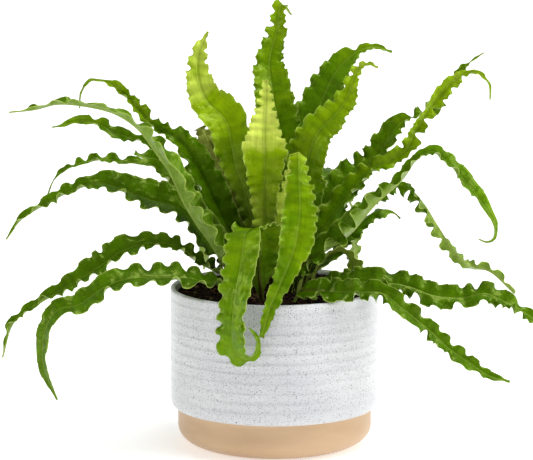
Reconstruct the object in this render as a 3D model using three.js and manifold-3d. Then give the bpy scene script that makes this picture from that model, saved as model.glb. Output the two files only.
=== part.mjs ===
// A bird's nest fern with waved fronds, growing in a glazed pot with a bare clay foot.
// Millimetres, +Z up. The origin is the centre of the pot's underside, and -Y is the front.
import * as THREE from 'three';
import { mergeVertices } from 'three/addons/utils/BufferGeometryUtils.js';
import Module from 'manifold-3d';

const wasm = await Module();
wasm.setup();

// Pot: a thrown cylinder, glazed above a bare foot that is set back under the glaze
const potHeight = 123.5;
const glazeRadius = 80.2;
const glazeBottom = 30;
const glazeRounding = [5, 8]; // across and up
const glazeTurn = 75; // degrees that its lower rounding turns through
const glazeLip = 1; // from the top of the foot's wall up to the glaze
const footRadius = 74.5;
const footCorner = [24, 16]; // across and up
const wallInside = 76.2;
const footInside = 71;
const floorTop = 9;
const floorRadius = 62;
const floorRounding = 9;
const wallStep = 7; // height over which the inside widens above the foot
const rimRounding = 1.6;
const rimTurn = 120; // degrees, from the outer wall over the top
const cornerSteps = 4;
const ridgeCount = 11;
const ridgeDepth = 0.5;
const potSides = 32;

// Soil and crown
const clearance = 0.3;
const soilTop = 115;
const soilMound = 1.6;
const soilLumps = 0.8;
const soilRings = 4;
const soilEdge = 1; // the soil is level this close to the wall
const lumpSpans = [7, 6, 11]; // along x, along y and across both
const crownRadius = 7.5;
const crownTop = 124;
const crownShoulder = 5.3; // how far below its top the crown starts to round off
const crownBrow = 5.6; // its radius where the rounding ends
const crownBrowDrop = 2; // and how far below its top that is
const crownSides = 12;

// Frond blade
const footDepth = 12; // how deep a frond's stem stands in the soil
const stemAbove = 12; // how far the bare stem goes on above it
const holeRoom = 0.5; // between a stem and the sides of its hole
const stemHalfWidth = 1.9;
const stemThickness = 2.4;
const bladeThickness = 0.95;
const openFrom = 0.7; // in stem lengths from the foot: where the stem starts to widen,
const openFull = 1.6; // where it has its full width,
const bladeFrom = 0.8; // where it starts to flatten
const bladeFull = 2.2; // and where it is all blade
const ribDepth = 1.5;
const ribHalfWidth = 1.3;
const ribShare = 0.4; // of the half width, at most
const ribInSoil = 1.05; // the deepest that the rib gets within the soil
const ribThinning = 0.8; // how much of the rib's depth is lost by the tip
const tipHalfWidth = 0.6;
const waveLength = 14.7;
const waveShrink = 1.3; // the waves get shorter towards the tip
const frillHeight = 2.6;
const frillFullAt = 8; // the half width from which the frill has its full height
const lobeLeast = 0.07; // how far a wave lengthens and shortens the blade's half width, as a share
const lobeMore = 0.3; // what a narrow blade adds to that share
const lobeNarrow = 4.5; // half width up to which it is all added
const lobeWide = 11; // and from which none is
const lobeTip = 4; // half width from which the tip has its full lobes
const lobeCrest = 0.7; // a crest lengthens it by less than a trough shortens it
const cupUsual = [25, 22, 22]; // degrees that each half of the blade rises, foot to tip
const handsUsual = [1, 1];
const frameSteps = 240;
const lengthSteps = 400; // for measuring a midrib
const sameWithin = 1e-4; // places closer than this are one

const colours = {
  glaze: 0xf1f0ec,
  soil: 0x2b211a,
  crown: 0x4a3722,
  dark: 0x3f7a1d,
  mid: 0x5c9a22,
  pale: 0x9dbf3c,
};

// Each frond: the ring and angle where it leaves the soil, the compass angle that its outer
// face turns to, how far the blade rolls, its colour, its width, and the midrib's route above
// the soil. Some have a cup of their own, how strongly each of the two margins is waved, or the
// length of a wave. Lists go from foot to tip in even steps.
const fronds = {
  frond_top_tall: {
    foot: [11, 100], turn: 90, roll: [0, 0, 0], tint: 'dark',
    wide: [4, 9, 18, 26, 31, 33, 32, 28, 17, 8, 2],
    cup: [25, 15, 15],
    route: [[-4, 12, 157.5], [3, 16, 203], [5, 19, 235], [-1, 32, 266.5], [-4, 46, 291],
      [2, 56, 314.5], [5, 60, 333.5], [13, 70, 325]],
  },
  frond_centre: {
    foot: [11, 200], turn: 90, roll: [0, 0, 0], tint: 'pale',
    wide: [4, 6, 10, 14, 18, 21, 28, 35, 23, 12, 4],
    cup: [25, 20, 15, 12], wave: 12,
    route: [[-8, -5, 156.5], [-8, -9, 192], [-8, -15, 224.5], [-8, -7, 245.5], [-7, 3, 265],
      [-7, 8, 282]],
  },
  frond_left_upright: {
    foot: [12, 172], turn: 100, roll: [0, 0, 0], tint: 'pale',
    wide: [4, 7, 9, 11, 16, 22, 30, 32, 23, 14, 2],
    cup: [25, 12, 15], wave: 13,
    route: [[-15, 0, 154], [-20, -1, 183.5], [-25, -2, 203], [-30, -3, 218], [-33, -4, 233],
      [-37, 0, 251], [-53, 6, 268], [-59, 12, 286.5], [-58, 16, 302.5], [-51, 20, 317.5]],
  },
  frond_old: {
    foot: [16, 120], turn: 100, roll: [0, 0], tint: 'dark',
    wide: [4, 8, 14, 18, 20, 18, 12, 4],
    route: [[-10, 24, 159], [-15, 32, 186], [-22, 35, 209], [-26, 40, 231]],
  },
  frond_left_back: {
    foot: [23, 115], turn: 120, roll: [0, 0], tint: 'dark',
    wide: [4, 8, 14, 18, 20, 20, 22, 25, 26, 22, 12],
    cup: [25, 15, 10],
    route: [[-25, 34, 167.5], [-40, 45, 204.5], [-51, 52, 227], [-58, 58, 238]],
  },
  frond_right_upright_dark: {
    foot: [11, 50], turn: 70, roll: [0, 0, 0], tint: 'dark',
    wide: [4, 9, 18, 25, 31, 34, 34, 30, 23, 7, 2],
    cup: [25, 15, 15],
    route: [[12, 18, 157.5], [19, 24, 194.5], [21, 30, 228.5], [33, 37, 254], [47, 46, 282],
      [63, 51, 297.5], [78, 53, 301.5], [91, 53, 297.5]],
  },
  frond_right_upright_pale: {
    foot: [11, 5], turn: 70, roll: [0, 0, 0], tint: 'pale',
    wide: [4, 9, 18, 26, 30, 32, 31, 26, 18, 8, 2],
    cup: [25, 15, 20],
    route: [[16, 1, 159], [24, 0, 198.5], [26, -3, 225], [33, -3, 243], [46, 0, 256], [55, 4, 268],
      [59, 8, 280], [64, 12, 290], [71, 14, 293.5], [79, 14, 290.5]],
  },
  frond_front_right: {
    foot: [11, -60], turn: -90, roll: [0, 0, 0], tint: 'mid',
    wide: [4, 6, 11, 18, 23, 25, 18, 12, 14, 21, 26, 26, 18, 13, 9, 4],
    cup: [25, 20, 15, 8, 5, 5, 5, 8, 10, 10, 10],
    route: [[7, -16, 145], [12, -26, 175], [15, -34, 207.5], [17, -42, 230], [18, -51, 235.5],
      [18, -61, 223], [18.5, -69, 210.5], [18.5, -74, 193.5], [16, -80, 173.5], [11, -84, 157.5],
      [4, -88, 141.5], [-4, -90, 122.5], [-10, -91, 101.5]],
  },
  frond_front_left: {
    foot: [23, 245], turn: -90, roll: [0, 0, 0], tint: 'mid',
    wide: [5, 18, 32, 36, 31, 29, 27, 22, 13, 5, 2],
    cup: [15, 12, 6, 6, 8, 10],
    route: [[-12, -24, 141.5], [-10, -36, 162], [-14, -54, 177.5], [-22, -70, 177], [-24, -79, 165.5],
      [-26, -86, 152.5], [-29, -90, 137.5], [-31, -92, 122.5], [-32, -93, 106.5], [-30, -93, 92.5],
      [-22, -93, 85], [-14, -93, 89.5], [-13, -93, 100.5], [-19, -93, 109.5]],
  },
  frond_right_tall_dark: {
    foot: [17, 38], turn: 30, roll: [0, 38, 32, 26], tint: 'dark',
    wide: [4, 7, 17, 26, 29, 25, 22, 8, 12, 6, 1],
    cup: [25, 22, 20], hands: [1.0, 1.0],
    route: [[23, 18, 149], [43, 29, 175], [58, 38, 199.5], [77, 45, 213.5], [91, 46, 235.5],
      [100, 48, 244.5], [125, 52, 253.5], [133, 54, 265.5], [148, 56, 286.5], [162, 56, 296.5]],
  },
  frond_right_tall_pale: {
    foot: [17, 18], turn: 20, roll: [0, 38, 30, 20, 60, 100, 60, 20], tint: 'pale',
    wide: [4, 8, 18, 24, 22, 13, 12, 10, 12, 4, 1],
    cup: [25, 25, 20], hands: [1.0, 0.6],
    route: [[24, 7, 146.5], [44, 14, 173.5], [59, 21, 193.5], [76, 25, 210.5], [90, 26, 217.5],
      [102, 27, 225.5], [108, 28, 237.5], [116, 28, 252.5], [131, 29, 271.5], [144, 30, 282.5],
      [156, 30, 284], [165, 30, 275.5], [166, 29, 263.5]],
  },
  frond_right_arch: {
    foot: [17, -22], turn: 0, roll: [0, 20, 12, -5, 20, 38, 38, 30], tint: 'mid',
    wide: [4, 8, 21, 28, 24, 12, 8, 14, 13, 4, 1],
    cup: [25, 28, 42, 42, 22, 18, 12], hands: [1.2, 0.3], wave: 15.5,
    route: [[19, -9, 137.5], [36, -14, 152], [56, -20, 167.5], [75, -22, 190.5], [96, -22, 210],
      [107, -21, 225], [119, -20, 231], [131, -20, 223], [144, -20, 209], [156, -20, 193.5],
      [166, -21, 177.5], [168, -21, 169.5], [166, -22, 163.5], [161, -22, 161.5], [155, -22, 163.5]],
  },
  frond_right_thin: {
    foot: [21, -3], turn: 0, roll: [0, 20, 20, 40, 110, 180, 250, 320, 380], tint: 'mid',
    wide: [4, 5, 8, 11, 12, 11, 11, 11, 10, 8, 3],
    cup: [25, 35, 40],
    route: [[26, -1, 137], [49, -3, 163.5], [74, -3, 187.5], [90, 1, 199.5], [102, 5, 198.5],
      [114, 6, 185], [124, 6, 169], [135, 6, 153], [147, 6, 139.5], [166, 6, 133.5], [185, 6, 116.5]],
  },
  frond_right_low: {
    foot: [29, -42], turn: 0, roll: [0, 15, 15, 15, 20], tint: 'mid',
    wide: [4, 13, 20, 23, 23, 21, 20, 19, 17, 9, 2],
    cup: [20, 10, 8, 8], hands: [1.4, 0.6], wave: 16,
    route: [[25, -24, 125], [46, -38, 132], [64, -46, 135.5], [97, -50, 133.5], [122, -52, 125.5],
      [144, -52, 124.5], [158, -52, 127.5], [175, -52, 120.5], [194, -54, 109.5], [205, -54, 98.5]],
  },
  frond_right_droop: {
    foot: [29, -62], turn: -20, roll: [0, 20, 30, 30, 25], tint: 'mid',
    wide: [4, 12, 19, 20, 18, 15, 14, 13, 11, 8, 3],
    cup: [20, 15, 15], hands: [1.4, 0.6], wave: 16,
    route: [[19, -36, 126], [34, -54, 130], [46, -66, 131.5], [65, -71, 132.5], [81, -72, 131.5],
      [94, -73, 121.5], [117, -72, 102.5], [130, -72, 90], [147, -72, 78], [162, -72, 68],
      [177, -72, 64]],
  },
  frond_right_blunt: {
    foot: [27, -10], turn: 0, roll: [0, 0, -5, -30, -60], tint: 'pale',
    wide: [4, 5, 5, 6, 7, 10, 15, 19, 20, 18, 11],
    cup: [10, 5, 5], hands: [0.5, 0.5], wave: 12,
    route: [[29, -3, 133], [35, -3, 143], [43, -4, 150], [51, -5, 152], [57, -6, 148], [61, -7, 141],
      [64, -8, 133]],
  },
  frond_right_short: {
    foot: [23, 25], turn: 20, roll: [0, 16], tint: 'dark',
    wide: [4, 7, 12, 15, 16, 17, 17, 16, 14, 10, 4],
    cup: [20, 0, -25, -28], hands: [1.0, 0.4], wave: 14.5,
    route: [[23, 12, 127.5], [43, 22, 143], [57, 28, 158], [69, 32, 169.5], [80, 34, 176.5],
      [90, 36, 176.5], [98, 36, 170.5]],
  },
  frond_left_channelled: {
    foot: [19, 152], turn: 150, roll: [0, -38, -40, -35], tint: 'dark',
    wide: [4, 6, 15, 28, 32, 28, 16, 12, 9, 3, 1],
    cup: [30, 38, 40, 35], hands: [1.0, 0.9],
    route: [[-34, 18, 159.5], [-44, 24, 180], [-54, 27, 200.5], [-62, 29, 215.5], [-68, 31, 225.5],
      [-77, 34, 234], [-93, 37, 242], [-113, 40, 263], [-128, 42, 275], [-141, 43, 277],
      [-149, 42, 268], [-151, 41, 255]],
  },
  frond_left_high: {
    foot: [21, 212], turn: 205, roll: [0, -27, -27, -27, -25, -20, -20], tint: 'pale',
    wide: [4, 7, 22, 30, 32, 28, 20, 11, 10, 8, 1],
    cup: [30, 38, 38, 38, 32, 25, 20], hands: [0.9, 0.7], wave: 18,
    route: [[-36, -25.5, 141.5], [-48, -28, 162], [-59, -30, 178], [-69, -31, 195.5],
      [-79, -33, 217.5], [-90, -34, 234], [-103, -34, 251], [-120, -32, 262], [-144, -28, 267.5],
      [-165, -26, 268.5], [-181, -26, 264.5], [-201, -28, 262.5]],
  },
  frond_left_behind: {
    foot: [25, 153], turn: 155, roll: [0, -25, -30], tint: 'dark',
    wide: [4, 7, 13, 16, 15, 12, 9, 9, 11, 8, 2],
    cup: [25, 25, 20], hands: [0.8, 1.0], wave: 18,
    route: [[-36, 26, 155], [-58, 39, 184.5], [-81, 44, 210.5], [-100, 44, 228.5], [-119, 42, 234],
      [-143, 40, 245], [-172, 38, 241]],
  },
  frond_left_pale: {
    foot: [21, 174], turn: 175, roll: [0, -30, -28], tint: 'pale',
    wide: [4, 5, 7, 12, 13, 11, 9, 8, 8, 4, 1],
    cup: [25, 25, 20], hands: [0.9, 0.7],
    route: [[-31, 3, 144], [-47, 5.5, 160], [-62, 9.5, 181], [-77, 12, 199], [-94, 14, 215],
      [-115, 12, 218], [-134, 8, 220.5], [-156, 4, 215.5], [-168, 2, 207.5], [-174, 0, 193.5]],
  },
  frond_left_snub: {
    foot: [26, 138], turn: 140, roll: [0, -20], tint: 'dark',
    wide: [4, 8, 16, 20, 20, 18, 14, 8],
    route: [[-31, 38, 148], [-49, 54, 174.5], [-74, 62, 194.5], [-93, 64, 210.5], [-109, 64, 217.5]],
  },
  frond_left_big: {
    foot: [22, 193], turn: 190, roll: [0, -52, -44, -36, -30, -28], tint: 'mid',
    wide: [6, 12, 26, 32, 34, 33, 27, 13, 12, 7, 1],
    cup: [25, 24, 24], hands: [0.4, 1.0],
    route: [[-33, -8, 143.5], [-48, -10, 158], [-61, -12, 174], [-75, -14, 187.5], [-93, -16, 192.5],
      [-111, -18, 199.5], [-133, -22, 207], [-154, -26, 202], [-174, -28, 192], [-193, -30, 180],
      [-204, -30, 165]],
  },
  frond_left_low: {
    foot: [29, 200], turn: 200, roll: [0, -35, -35, -25], tint: 'mid',
    wide: [4, 7, 12, 13, 16, 24, 23, 14, 9, 7, 1],
    cup: [25, 28, 25], hands: [0.7, 1.0],
    route: [[-33, -14, 132.5], [-46, -20, 140], [-61, -26, 149.5], [-73, -30, 159], [-91, -34, 163],
      [-113, -38, 158.5], [-135, -42, 144.5], [-159, -44, 130], [-178, -44, 119], [-198, -44, 104],
      [-207, -44, 76.5]],
  },
  frond_left_lowest: {
    foot: [29, 222], turn: 215, roll: [0, -25, -28, -38, -40], tint: 'mid',
    wide: [4, 12, 21, 26, 26, 24, 22, 17, 13, 9, 2],
    cup: [20, 14, 12], hands: [0.55, 1.0], wave: 17,
    route: [[-31, -27, 128.5], [-49, -43, 134], [-66, -55, 140], [-87, -62, 141.5], [-110, -66, 141.5],
      [-128, -69, 135.5], [-147, -70, 122.5], [-163, -71, 118.5], [-173, -71, 101.5], [-174, -71, 75],
      [-164, -71, 49.5]],
  },
  frond_back_right: {
    foot: [23, 50], turn: 54, roll: [0, 0], tint: 'mid',
    wide: [4, 8, 21, 28, 28, 25, 17, 11, 2],
    route: [[22, 31, 145.5], [31, 54, 178.5], [41, 78, 197.5], [50, 98, 196.5], [58, 120, 182],
      [62, 132, 160.5]],
  },
  frond_back_middle: {
    foot: [23, 70], turn: 78, roll: [0, 0], tint: 'mid',
    wide: [4, 9, 22, 30, 30, 27, 18, 12, 2],
    route: [[9, 31, 150.5], [11, 50, 186], [11, 75, 210], [11, 102, 216.5], [9, 130, 202],
      [8, 148, 179.5]],
  },
  frond_back_left: {
    foot: [23, 93], turn: 102, roll: [0, 0], tint: 'mid',
    wide: [4, 8, 21, 28, 28, 25, 17, 11, 2],
    route: [[-2, 37, 144], [-10, 58, 171.5], [-22, 80, 191.5], [-33, 100, 200.5], [-40, 122, 186],
      [-44, 136, 165]],
  },
  frond_back_low_right: {
    foot: [29, 48], turn: 48, roll: [0, 0], tint: 'dark',
    wide: [4, 8, 20, 26, 26, 23, 16, 10, 2],
    route: [[28, 36, 141], [42, 62, 157], [54, 86, 158.5], [62, 108, 143.5], [66, 124, 118.5]],
  },
  frond_back_low_middle: {
    foot: [31, 82], turn: 80, roll: [0, 0], tint: 'dark',
    wide: [4, 8, 20, 26, 26, 23, 16, 10, 2],
    route: [[8, 44, 144], [11, 72, 162.5], [12, 100, 161], [13, 125, 140.5], [13, 138, 111.5]],
  },
  frond_back_low_left: {
    foot: [29, 112], turn: 112, roll: [0, 0], tint: 'dark',
    wide: [4, 8, 20, 26, 26, 23, 16, 10, 2],
    route: [[-13, 43, 143], [-22, 70, 157.5], [-30, 96, 155], [-34, 118, 136], [-37, 130, 109]],
  },
  frond_back_low_side: {
    foot: [32, 134], turn: 130, roll: [0, 0], tint: 'dark',
    wide: [4, 7, 18, 24, 24, 22, 14, 10, 2],
    route: [[-33, 36, 138], [-43, 54, 152.5], [-50, 72, 155.5], [-54, 90, 140.5], [-56, 101, 117.5]],
  },
};

// Part of an ellipse that touches a wall of the given radius, from one angle to another
function arc(wallRadius, centreZ, [across, upwards], from, to) {
  return Array.from({ length: cornerSteps + 1 }, (_, i) => {
    const angle = THREE.MathUtils.degToRad(from + (to - from) * i / cornerSteps);
    const inwards = across * (1 - Math.cos(angle));
    return new THREE.Vector2(wallRadius - inwards, centreZ + upwards * Math.sin(angle));
  });
}

function upright(lathe) {
  return lathe.rotateX(Math.PI / 2);
}

// The pot's closed outline, from the middle of the underside round to the middle of the floor
function potGeometry() {
  const ridgeStart = glazeBottom + glazeRounding[1];
  const ridgePitch = (potHeight - rimRounding - ridgeStart) / ridgeCount;
  const ridges = Array.from({ length: 2 * ridgeCount - 1 }, (_, i) =>
    new THREE.Vector2(glazeRadius - (i % 2 ? 0 : ridgeDepth), ridgeStart + ridgePitch * (i + 1) / 2));
  const outline = [
    new THREE.Vector2(0, 0),
    ...arc(footRadius, footCorner[1], footCorner, -90, 0),
    new THREE.Vector2(footRadius, glazeBottom - glazeLip),
    ...arc(glazeRadius, ridgeStart, glazeRounding, -glazeTurn, 0),
    ...ridges,
    ...arc(glazeRadius, potHeight - rimRounding, [rimRounding, rimRounding], 0, rimTurn),
    new THREE.Vector2(wallInside, potHeight - 2 * rimRounding),
    ...inside(0).reverse(),
  ];
  return upright(new THREE.LatheGeometry(outline, potSides));
}

// The pot's inner outline from the middle of the floor up to the wall, drawn in by a gap
function inside(gap) {
  return [[0, floorTop], [floorRadius, floorTop], [footInside, floorTop + floorRounding],
    [footInside, glazeBottom], [wallInside, glazeBottom + wallStep],
  ].map(([radius, height]) => new THREE.Vector2(Math.max(0, radius - gap), height + gap));
}

function soilGeometry() {
  const radius = wallInside - clearance;
  const outline = inside(clearance);
  for (let i = 0; i < soilRings; i += 1) {
    const share = i / soilRings;
    outline.push(new THREE.Vector2(radius * (1 - share), soilTop + soilMound * share));
  }
  outline.push(new THREE.Vector2(0, soilTop + soilMound));
  const geometry = upright(new THREE.LatheGeometry(outline, potSides));
  const position = geometry.attributes.position;
  for (let i = 0; i < position.count; i += 1) {
    const [x, y, z] = [position.getX(i), position.getY(i), position.getZ(i)];
    const lump = Math.sin(x / lumpSpans[0]) * Math.cos(y / lumpSpans[1]) + Math.sin((x + y) / lumpSpans[2]);
    const isTop = z > soilTop - soilMound && Math.hypot(x, y) < radius - soilEdge;
    if (isTop) position.setZ(i, z + soilLumps * lump);
  }
  return geometry;
}

function crownGeometry(grow) {
  const bottom = soilTop - footDepth - grow;
  const outline = [new THREE.Vector2(0, bottom), new THREE.Vector2(crownRadius + grow, bottom)];
  outline.push(new THREE.Vector2(crownRadius + grow, crownTop - crownShoulder));
  outline.push(new THREE.Vector2(crownBrow + grow, crownTop - crownBrowDrop + grow));
  outline.push(new THREE.Vector2(0, crownTop + grow));
  return upright(new THREE.LatheGeometry(outline, crownSides));
}

function smooth(from, to, value) {
  return THREE.MathUtils.smoothstep(value, from, to);
}

function along(list, share) {
  const place = share * (list.length - 1);
  const index = Math.min(Math.floor(place), list.length - 2);
  return THREE.MathUtils.lerp(list[index], list[index + 1], smooth(0, 1, place - index));
}

// The midrib as a curve, with a frame that turns as little as it can from foot to tip. The
// stem goes straight down into the soil, in line with the route's first point.
function midrib({ foot, turn, route }) {
  const [ring, angle] = [foot[0], THREE.MathUtils.degToRad(foot[1])];
  const collar = new THREE.Vector3(ring * Math.cos(angle), ring * Math.sin(angle), soilTop);
  const free = route.map((place) => new THREE.Vector3(...place));
  const end = collar.clone().addScaledVector(free[0].clone().sub(collar).normalize(), -footDepth);
  const curve = new THREE.CatmullRomCurve3([end, collar, ...free]);
  curve.arcLengthDivisions = lengthSteps;
  const facing = THREE.MathUtils.degToRad(turn);
  const sides = [];
  let side = new THREE.Vector3(-Math.sin(facing), Math.cos(facing), 0);
  for (let i = 0; i <= frameSteps; i += 1) {
    const tangent = curve.getTangentAt(i / frameSteps);
    side = side.clone().addScaledVector(tangent, -side.dot(tangent)).normalize();
    sides.push(side);
  }
  return { curve, sides, length: curve.getLength() };
}

// What a frond measures at one share of its length: its place, its frame and its section
function sectionAt(frond, { curve, sides, length }, share) {
  const point = curve.getPointAt(share);
  const tangent = curve.getTangentAt(share);
  const side = sides[Math.round(share * frameSteps)].clone();
  side.addScaledVector(tangent, -side.dot(tangent)).normalize();
  side.applyAxisAngle(tangent, THREE.MathUtils.degToRad(along(frond.roll, share)));
  const up = new THREE.Vector3().crossVectors(tangent, side);
  const stem = (footDepth + stemAbove) / length;
  const opening = smooth(stem * openFrom, stem * openFull, share);
  const blade = smooth(stem * bladeFrom, stem * bladeFull, share); // 0 on the stem, 1 on the blade
  const halfWidth = THREE.MathUtils.lerp(stemHalfWidth, along(frond.wide, share) / 2, opening);
  return {
    point, side, up, halfWidth,
    frill: frillHeight * smooth(0, frillFullAt, halfWidth) * blade,
    lobe: (lobeLeast + lobeMore * (1 - smooth(lobeNarrow, lobeWide, halfWidth))) * blade
      * smooth(tipHalfWidth, lobeTip, halfWidth),
    cup: THREE.MathUtils.degToRad(along(frond.cup ?? cupUsual, share)) * blade,
    thickness: THREE.MathUtils.lerp(stemThickness, bladeThickness, blade),
    rib: ribDepth * (1 - ribThinning * share) * smooth(0, stem, share),
    ribHalf: Math.max(tipHalfWidth / 2, Math.min(ribHalfWidth, halfWidth * ribShare)),
  };
}

// A frond is one closed band. Across it stand two margins, the two edges of the rib and the
// rib's middle; the margins have a place at every step and the rib at every second one, so
// that each wave of a margin is folded from the rib like a fan. Both faces share their split.
function frondGeometry(frond) {
  const frame = midrib(frond);
  const steps = 2 * Math.round(frame.length / (frond.wave ?? waveLength));
  const places = [];
  const faces = [];
  const vertex = (point) => places.push(point.x, point.y, point.z) / 3 - 1;
  const quad = (a, b, c, d) => faces.push(a, b, c, a, c, d);

  const station = (i) => {
    const section = sectionAt(frond, frame, 1 - Math.pow(1 - i / steps, waveShrink));
    const { point, side, up, halfWidth, thickness, cup } = section;
    const shifted = (across, height) =>
      vertex(point.clone().addScaledVector(side, across).addScaledVector(up, height));
    const top = [];
    const bottom = [];
    const margin = (hand) => {
      const isCrest = (i % 2 === 1) === (hand > 0);
      const keen = (frond.hands ?? handsUsual)[hand > 0 ? 1 : 0];
      const stretch = keen * section.lobe * (isCrest ? lobeCrest : -1);
      const vein = Math.max(tipHalfWidth, halfWidth * (1 + stretch));
      const wave = keen * section.frill * (isCrest ? 1 : -1);
      for (const [row, off] of [[top, wave], [bottom, wave - thickness]]) {
        row.push(shifted(hand * (vein * Math.cos(cup) - off * Math.sin(cup)),
          vein * Math.sin(cup) + off * Math.cos(cup)));
      }
    };
    margin(-1);
    if (i % 2 === 0) {
      const lowerHalf = section.ribHalf + thickness * Math.tan(cup / 2);
      top.push(shifted(-section.ribHalf, 0), shifted(0, 0), shifted(section.ribHalf, 0));
      bottom.push(shifted(-lowerHalf, -thickness), shifted(0, -thickness - section.rib),
        shifted(lowerHalf, -thickness));
    }
    margin(1);
    return { top, bottom };
  };
  const stations = Array.from({ length: steps + 1 }, (_, i) => station(i));

  // One face of a whole wave, between a station with a rib, one without and the next with one
  const skin = (row, between, next, outward) => {
    const face = (a, b, c) => (outward ? faces.push(a, b, c) : faces.push(a, c, b));
    const half = (margin, rib, nextMargin, nextRib, crest, turn) => {
      const [first, second] = turn ? [crest, margin] : [margin, crest];
      face(rib, first, second);
      face(rib, ...(turn ? [nextRib, crest] : [crest, nextRib]));
      face(nextRib, ...(turn ? [nextMargin, crest] : [crest, nextMargin]));
    };
    half(row[0], row[1], next[0], next[1], between[0], true);
    half(row[4], row[3], next[4], next[3], between[1], false);
    for (const k of [1, 2]) {
      face(row[k], row[k + 1], next[k + 1]);
      face(row[k], next[k + 1], next[k]);
    }
  };
  for (let i = 0; i < steps; i += 2) {
    const [row, between, next] = [stations[i], stations[i + 1], stations[i + 2]];
    skin(row.top, between.top, next.top, false);
    skin(row.bottom, between.bottom, next.bottom, true);
    for (const [near, far] of [[row, between], [between, next]]) {
      const [nearEnd, farEnd] = [near.top.length - 1, far.top.length - 1];
      quad(near.bottom[0], far.bottom[0], far.top[0], near.top[0]);
      quad(near.top[nearEnd], far.top[farEnd], far.bottom[farEnd], near.bottom[nearEnd]);
    }
  }
  const [first, last] = [stations[0], stations[steps]];
  for (let k = 0; k < 4; k += 1) {
    quad(first.top[k + 1], first.bottom[k + 1], first.bottom[k], first.top[k]);
    quad(last.top[k], last.bottom[k], last.bottom[k + 1], last.top[k + 1]);
  }
  return indexed(new Float32Array(places), faces);
}

// The plain four-sided hole that a frond's stem stands in, open above the soil
function stemHole(frond) {
  const frame = midrib(frond);
  const { point, side, up } = sectionAt(frond, frame, 0);
  const upwards = new THREE.Vector3().crossVectors(side, up);
  const half = stemHalfWidth + holeRoom;
  const deep = stemThickness + ribInSoil + holeRoom;
  const places = [];
  for (const distance of [-holeRoom, footDepth + stemAbove / 2]) {
    for (const [across, height] of [[-half, -deep], [half, -deep], [half, holeRoom], [-half, holeRoom]]) {
      const corner = point.clone().addScaledVector(upwards, distance);
      places.push(...corner.addScaledVector(side, across).addScaledVector(up, height));
    }
  }
  const faces = [0, 2, 1, 0, 3, 2, 4, 5, 6, 4, 6, 7];
  for (let corner = 0; corner < 4; corner += 1) {
    const next = (corner + 1) % 4;
    faces.push(corner, next, next + 4, corner, next + 4, corner + 4);
  }
  return indexed(new Float32Array(places), faces);
}

function indexed(places, faces) {
  const geometry = new THREE.BufferGeometry();
  geometry.setAttribute('position', new THREE.BufferAttribute(places, 3));
  geometry.setIndex(faces);
  return geometry;
}

function solid(geometry) {
  const bare = new THREE.BufferGeometry();
  bare.setAttribute('position', geometry.attributes.position);
  bare.setIndex(geometry.index);
  const merged = mergeVertices(bare, sameWithin);
  return new wasm.Manifold(new wasm.Mesh({
    numProp: 3,
    vertProperties: new Float32Array(merged.attributes.position.array),
    triVerts: new Uint32Array(merged.index.array),
  }));
}

function geometryOf(manifold) {
  const mesh = manifold.getMesh();
  const geometry = new THREE.BufferGeometry();
  geometry.setAttribute('position', new THREE.BufferAttribute(mesh.vertProperties, 3));
  geometry.setIndex(new THREE.BufferAttribute(mesh.triVerts, 1));
  return geometry;
}

function piece(name, geometry, color, roughness) {
  const mesh = new THREE.Mesh(geometry, new THREE.MeshStandardMaterial({ color, roughness, metalness: 0 }));
  mesh.name = name;
  return mesh;
}

// The soil with a plain hole for the crown and for each frond's stem
function soilWithHoles() {
  let soil = solid(soilGeometry()).subtract(solid(crownGeometry(clearance)));
  for (const frond of Object.values(fronds)) {
    soil = soil.subtract(solid(stemHole(frond)));
  }
  return geometryOf(soil);
}

const plant = new THREE.Group();
plant.add(piece('pot', potGeometry(), colours.glaze, 0.3));
plant.add(piece('soil', soilWithHoles(), colours.soil, 0.95));
plant.add(piece('crown', crownGeometry(0), colours.crown, 0.9));
for (const [name, frond] of Object.entries(fronds)) {
  plant.add(piece(name, frondGeometry(frond), colours[frond.tint], 0.4));
}

export default plant;
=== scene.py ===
# Looks of the potted bird's nest fern: finer fronds, soil, crown and glazed pot around the CAD model.
# Lengths in the settings are millimetres; meshes are written in metres. Colours are linear.
import math

import bpy
import numpy as np
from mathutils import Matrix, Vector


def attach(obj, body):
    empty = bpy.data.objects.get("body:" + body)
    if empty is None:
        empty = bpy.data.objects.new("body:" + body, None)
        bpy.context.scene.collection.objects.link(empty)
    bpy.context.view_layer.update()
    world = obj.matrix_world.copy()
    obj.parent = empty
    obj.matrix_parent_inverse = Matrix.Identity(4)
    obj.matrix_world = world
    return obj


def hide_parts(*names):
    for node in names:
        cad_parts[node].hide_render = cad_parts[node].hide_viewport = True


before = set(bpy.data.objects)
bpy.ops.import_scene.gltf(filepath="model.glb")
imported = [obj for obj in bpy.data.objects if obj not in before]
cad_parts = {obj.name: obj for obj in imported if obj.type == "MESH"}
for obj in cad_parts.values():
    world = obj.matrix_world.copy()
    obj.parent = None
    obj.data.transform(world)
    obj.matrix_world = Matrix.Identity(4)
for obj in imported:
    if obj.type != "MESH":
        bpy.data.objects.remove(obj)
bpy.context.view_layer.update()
metre = 0.001  # metres in one millimetre
fullTurn = 2 * math.pi
soilTop = 115.0  # level of the soil in the pot, where the stems leave it
print("frame loaded:", len(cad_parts), "nodes")


# Numbers and meshes
def smooth(low, high, value):
    # Smoothstep: 3t^2 - 2t^3 with t = (value - low) / (high - low) kept within 0 and 1. It is 0
    # at low and 1 at high, so that it falls where low is the larger of the two.
    t = np.clip((value - low) / (high - low), 0, 1)
    return t * t * (3 - 2 * t)


def unit(vectors):
    # Each vector divided by its length.
    return vectors / np.linalg.norm(vectors, axis=-1, keepdims=True)


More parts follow.
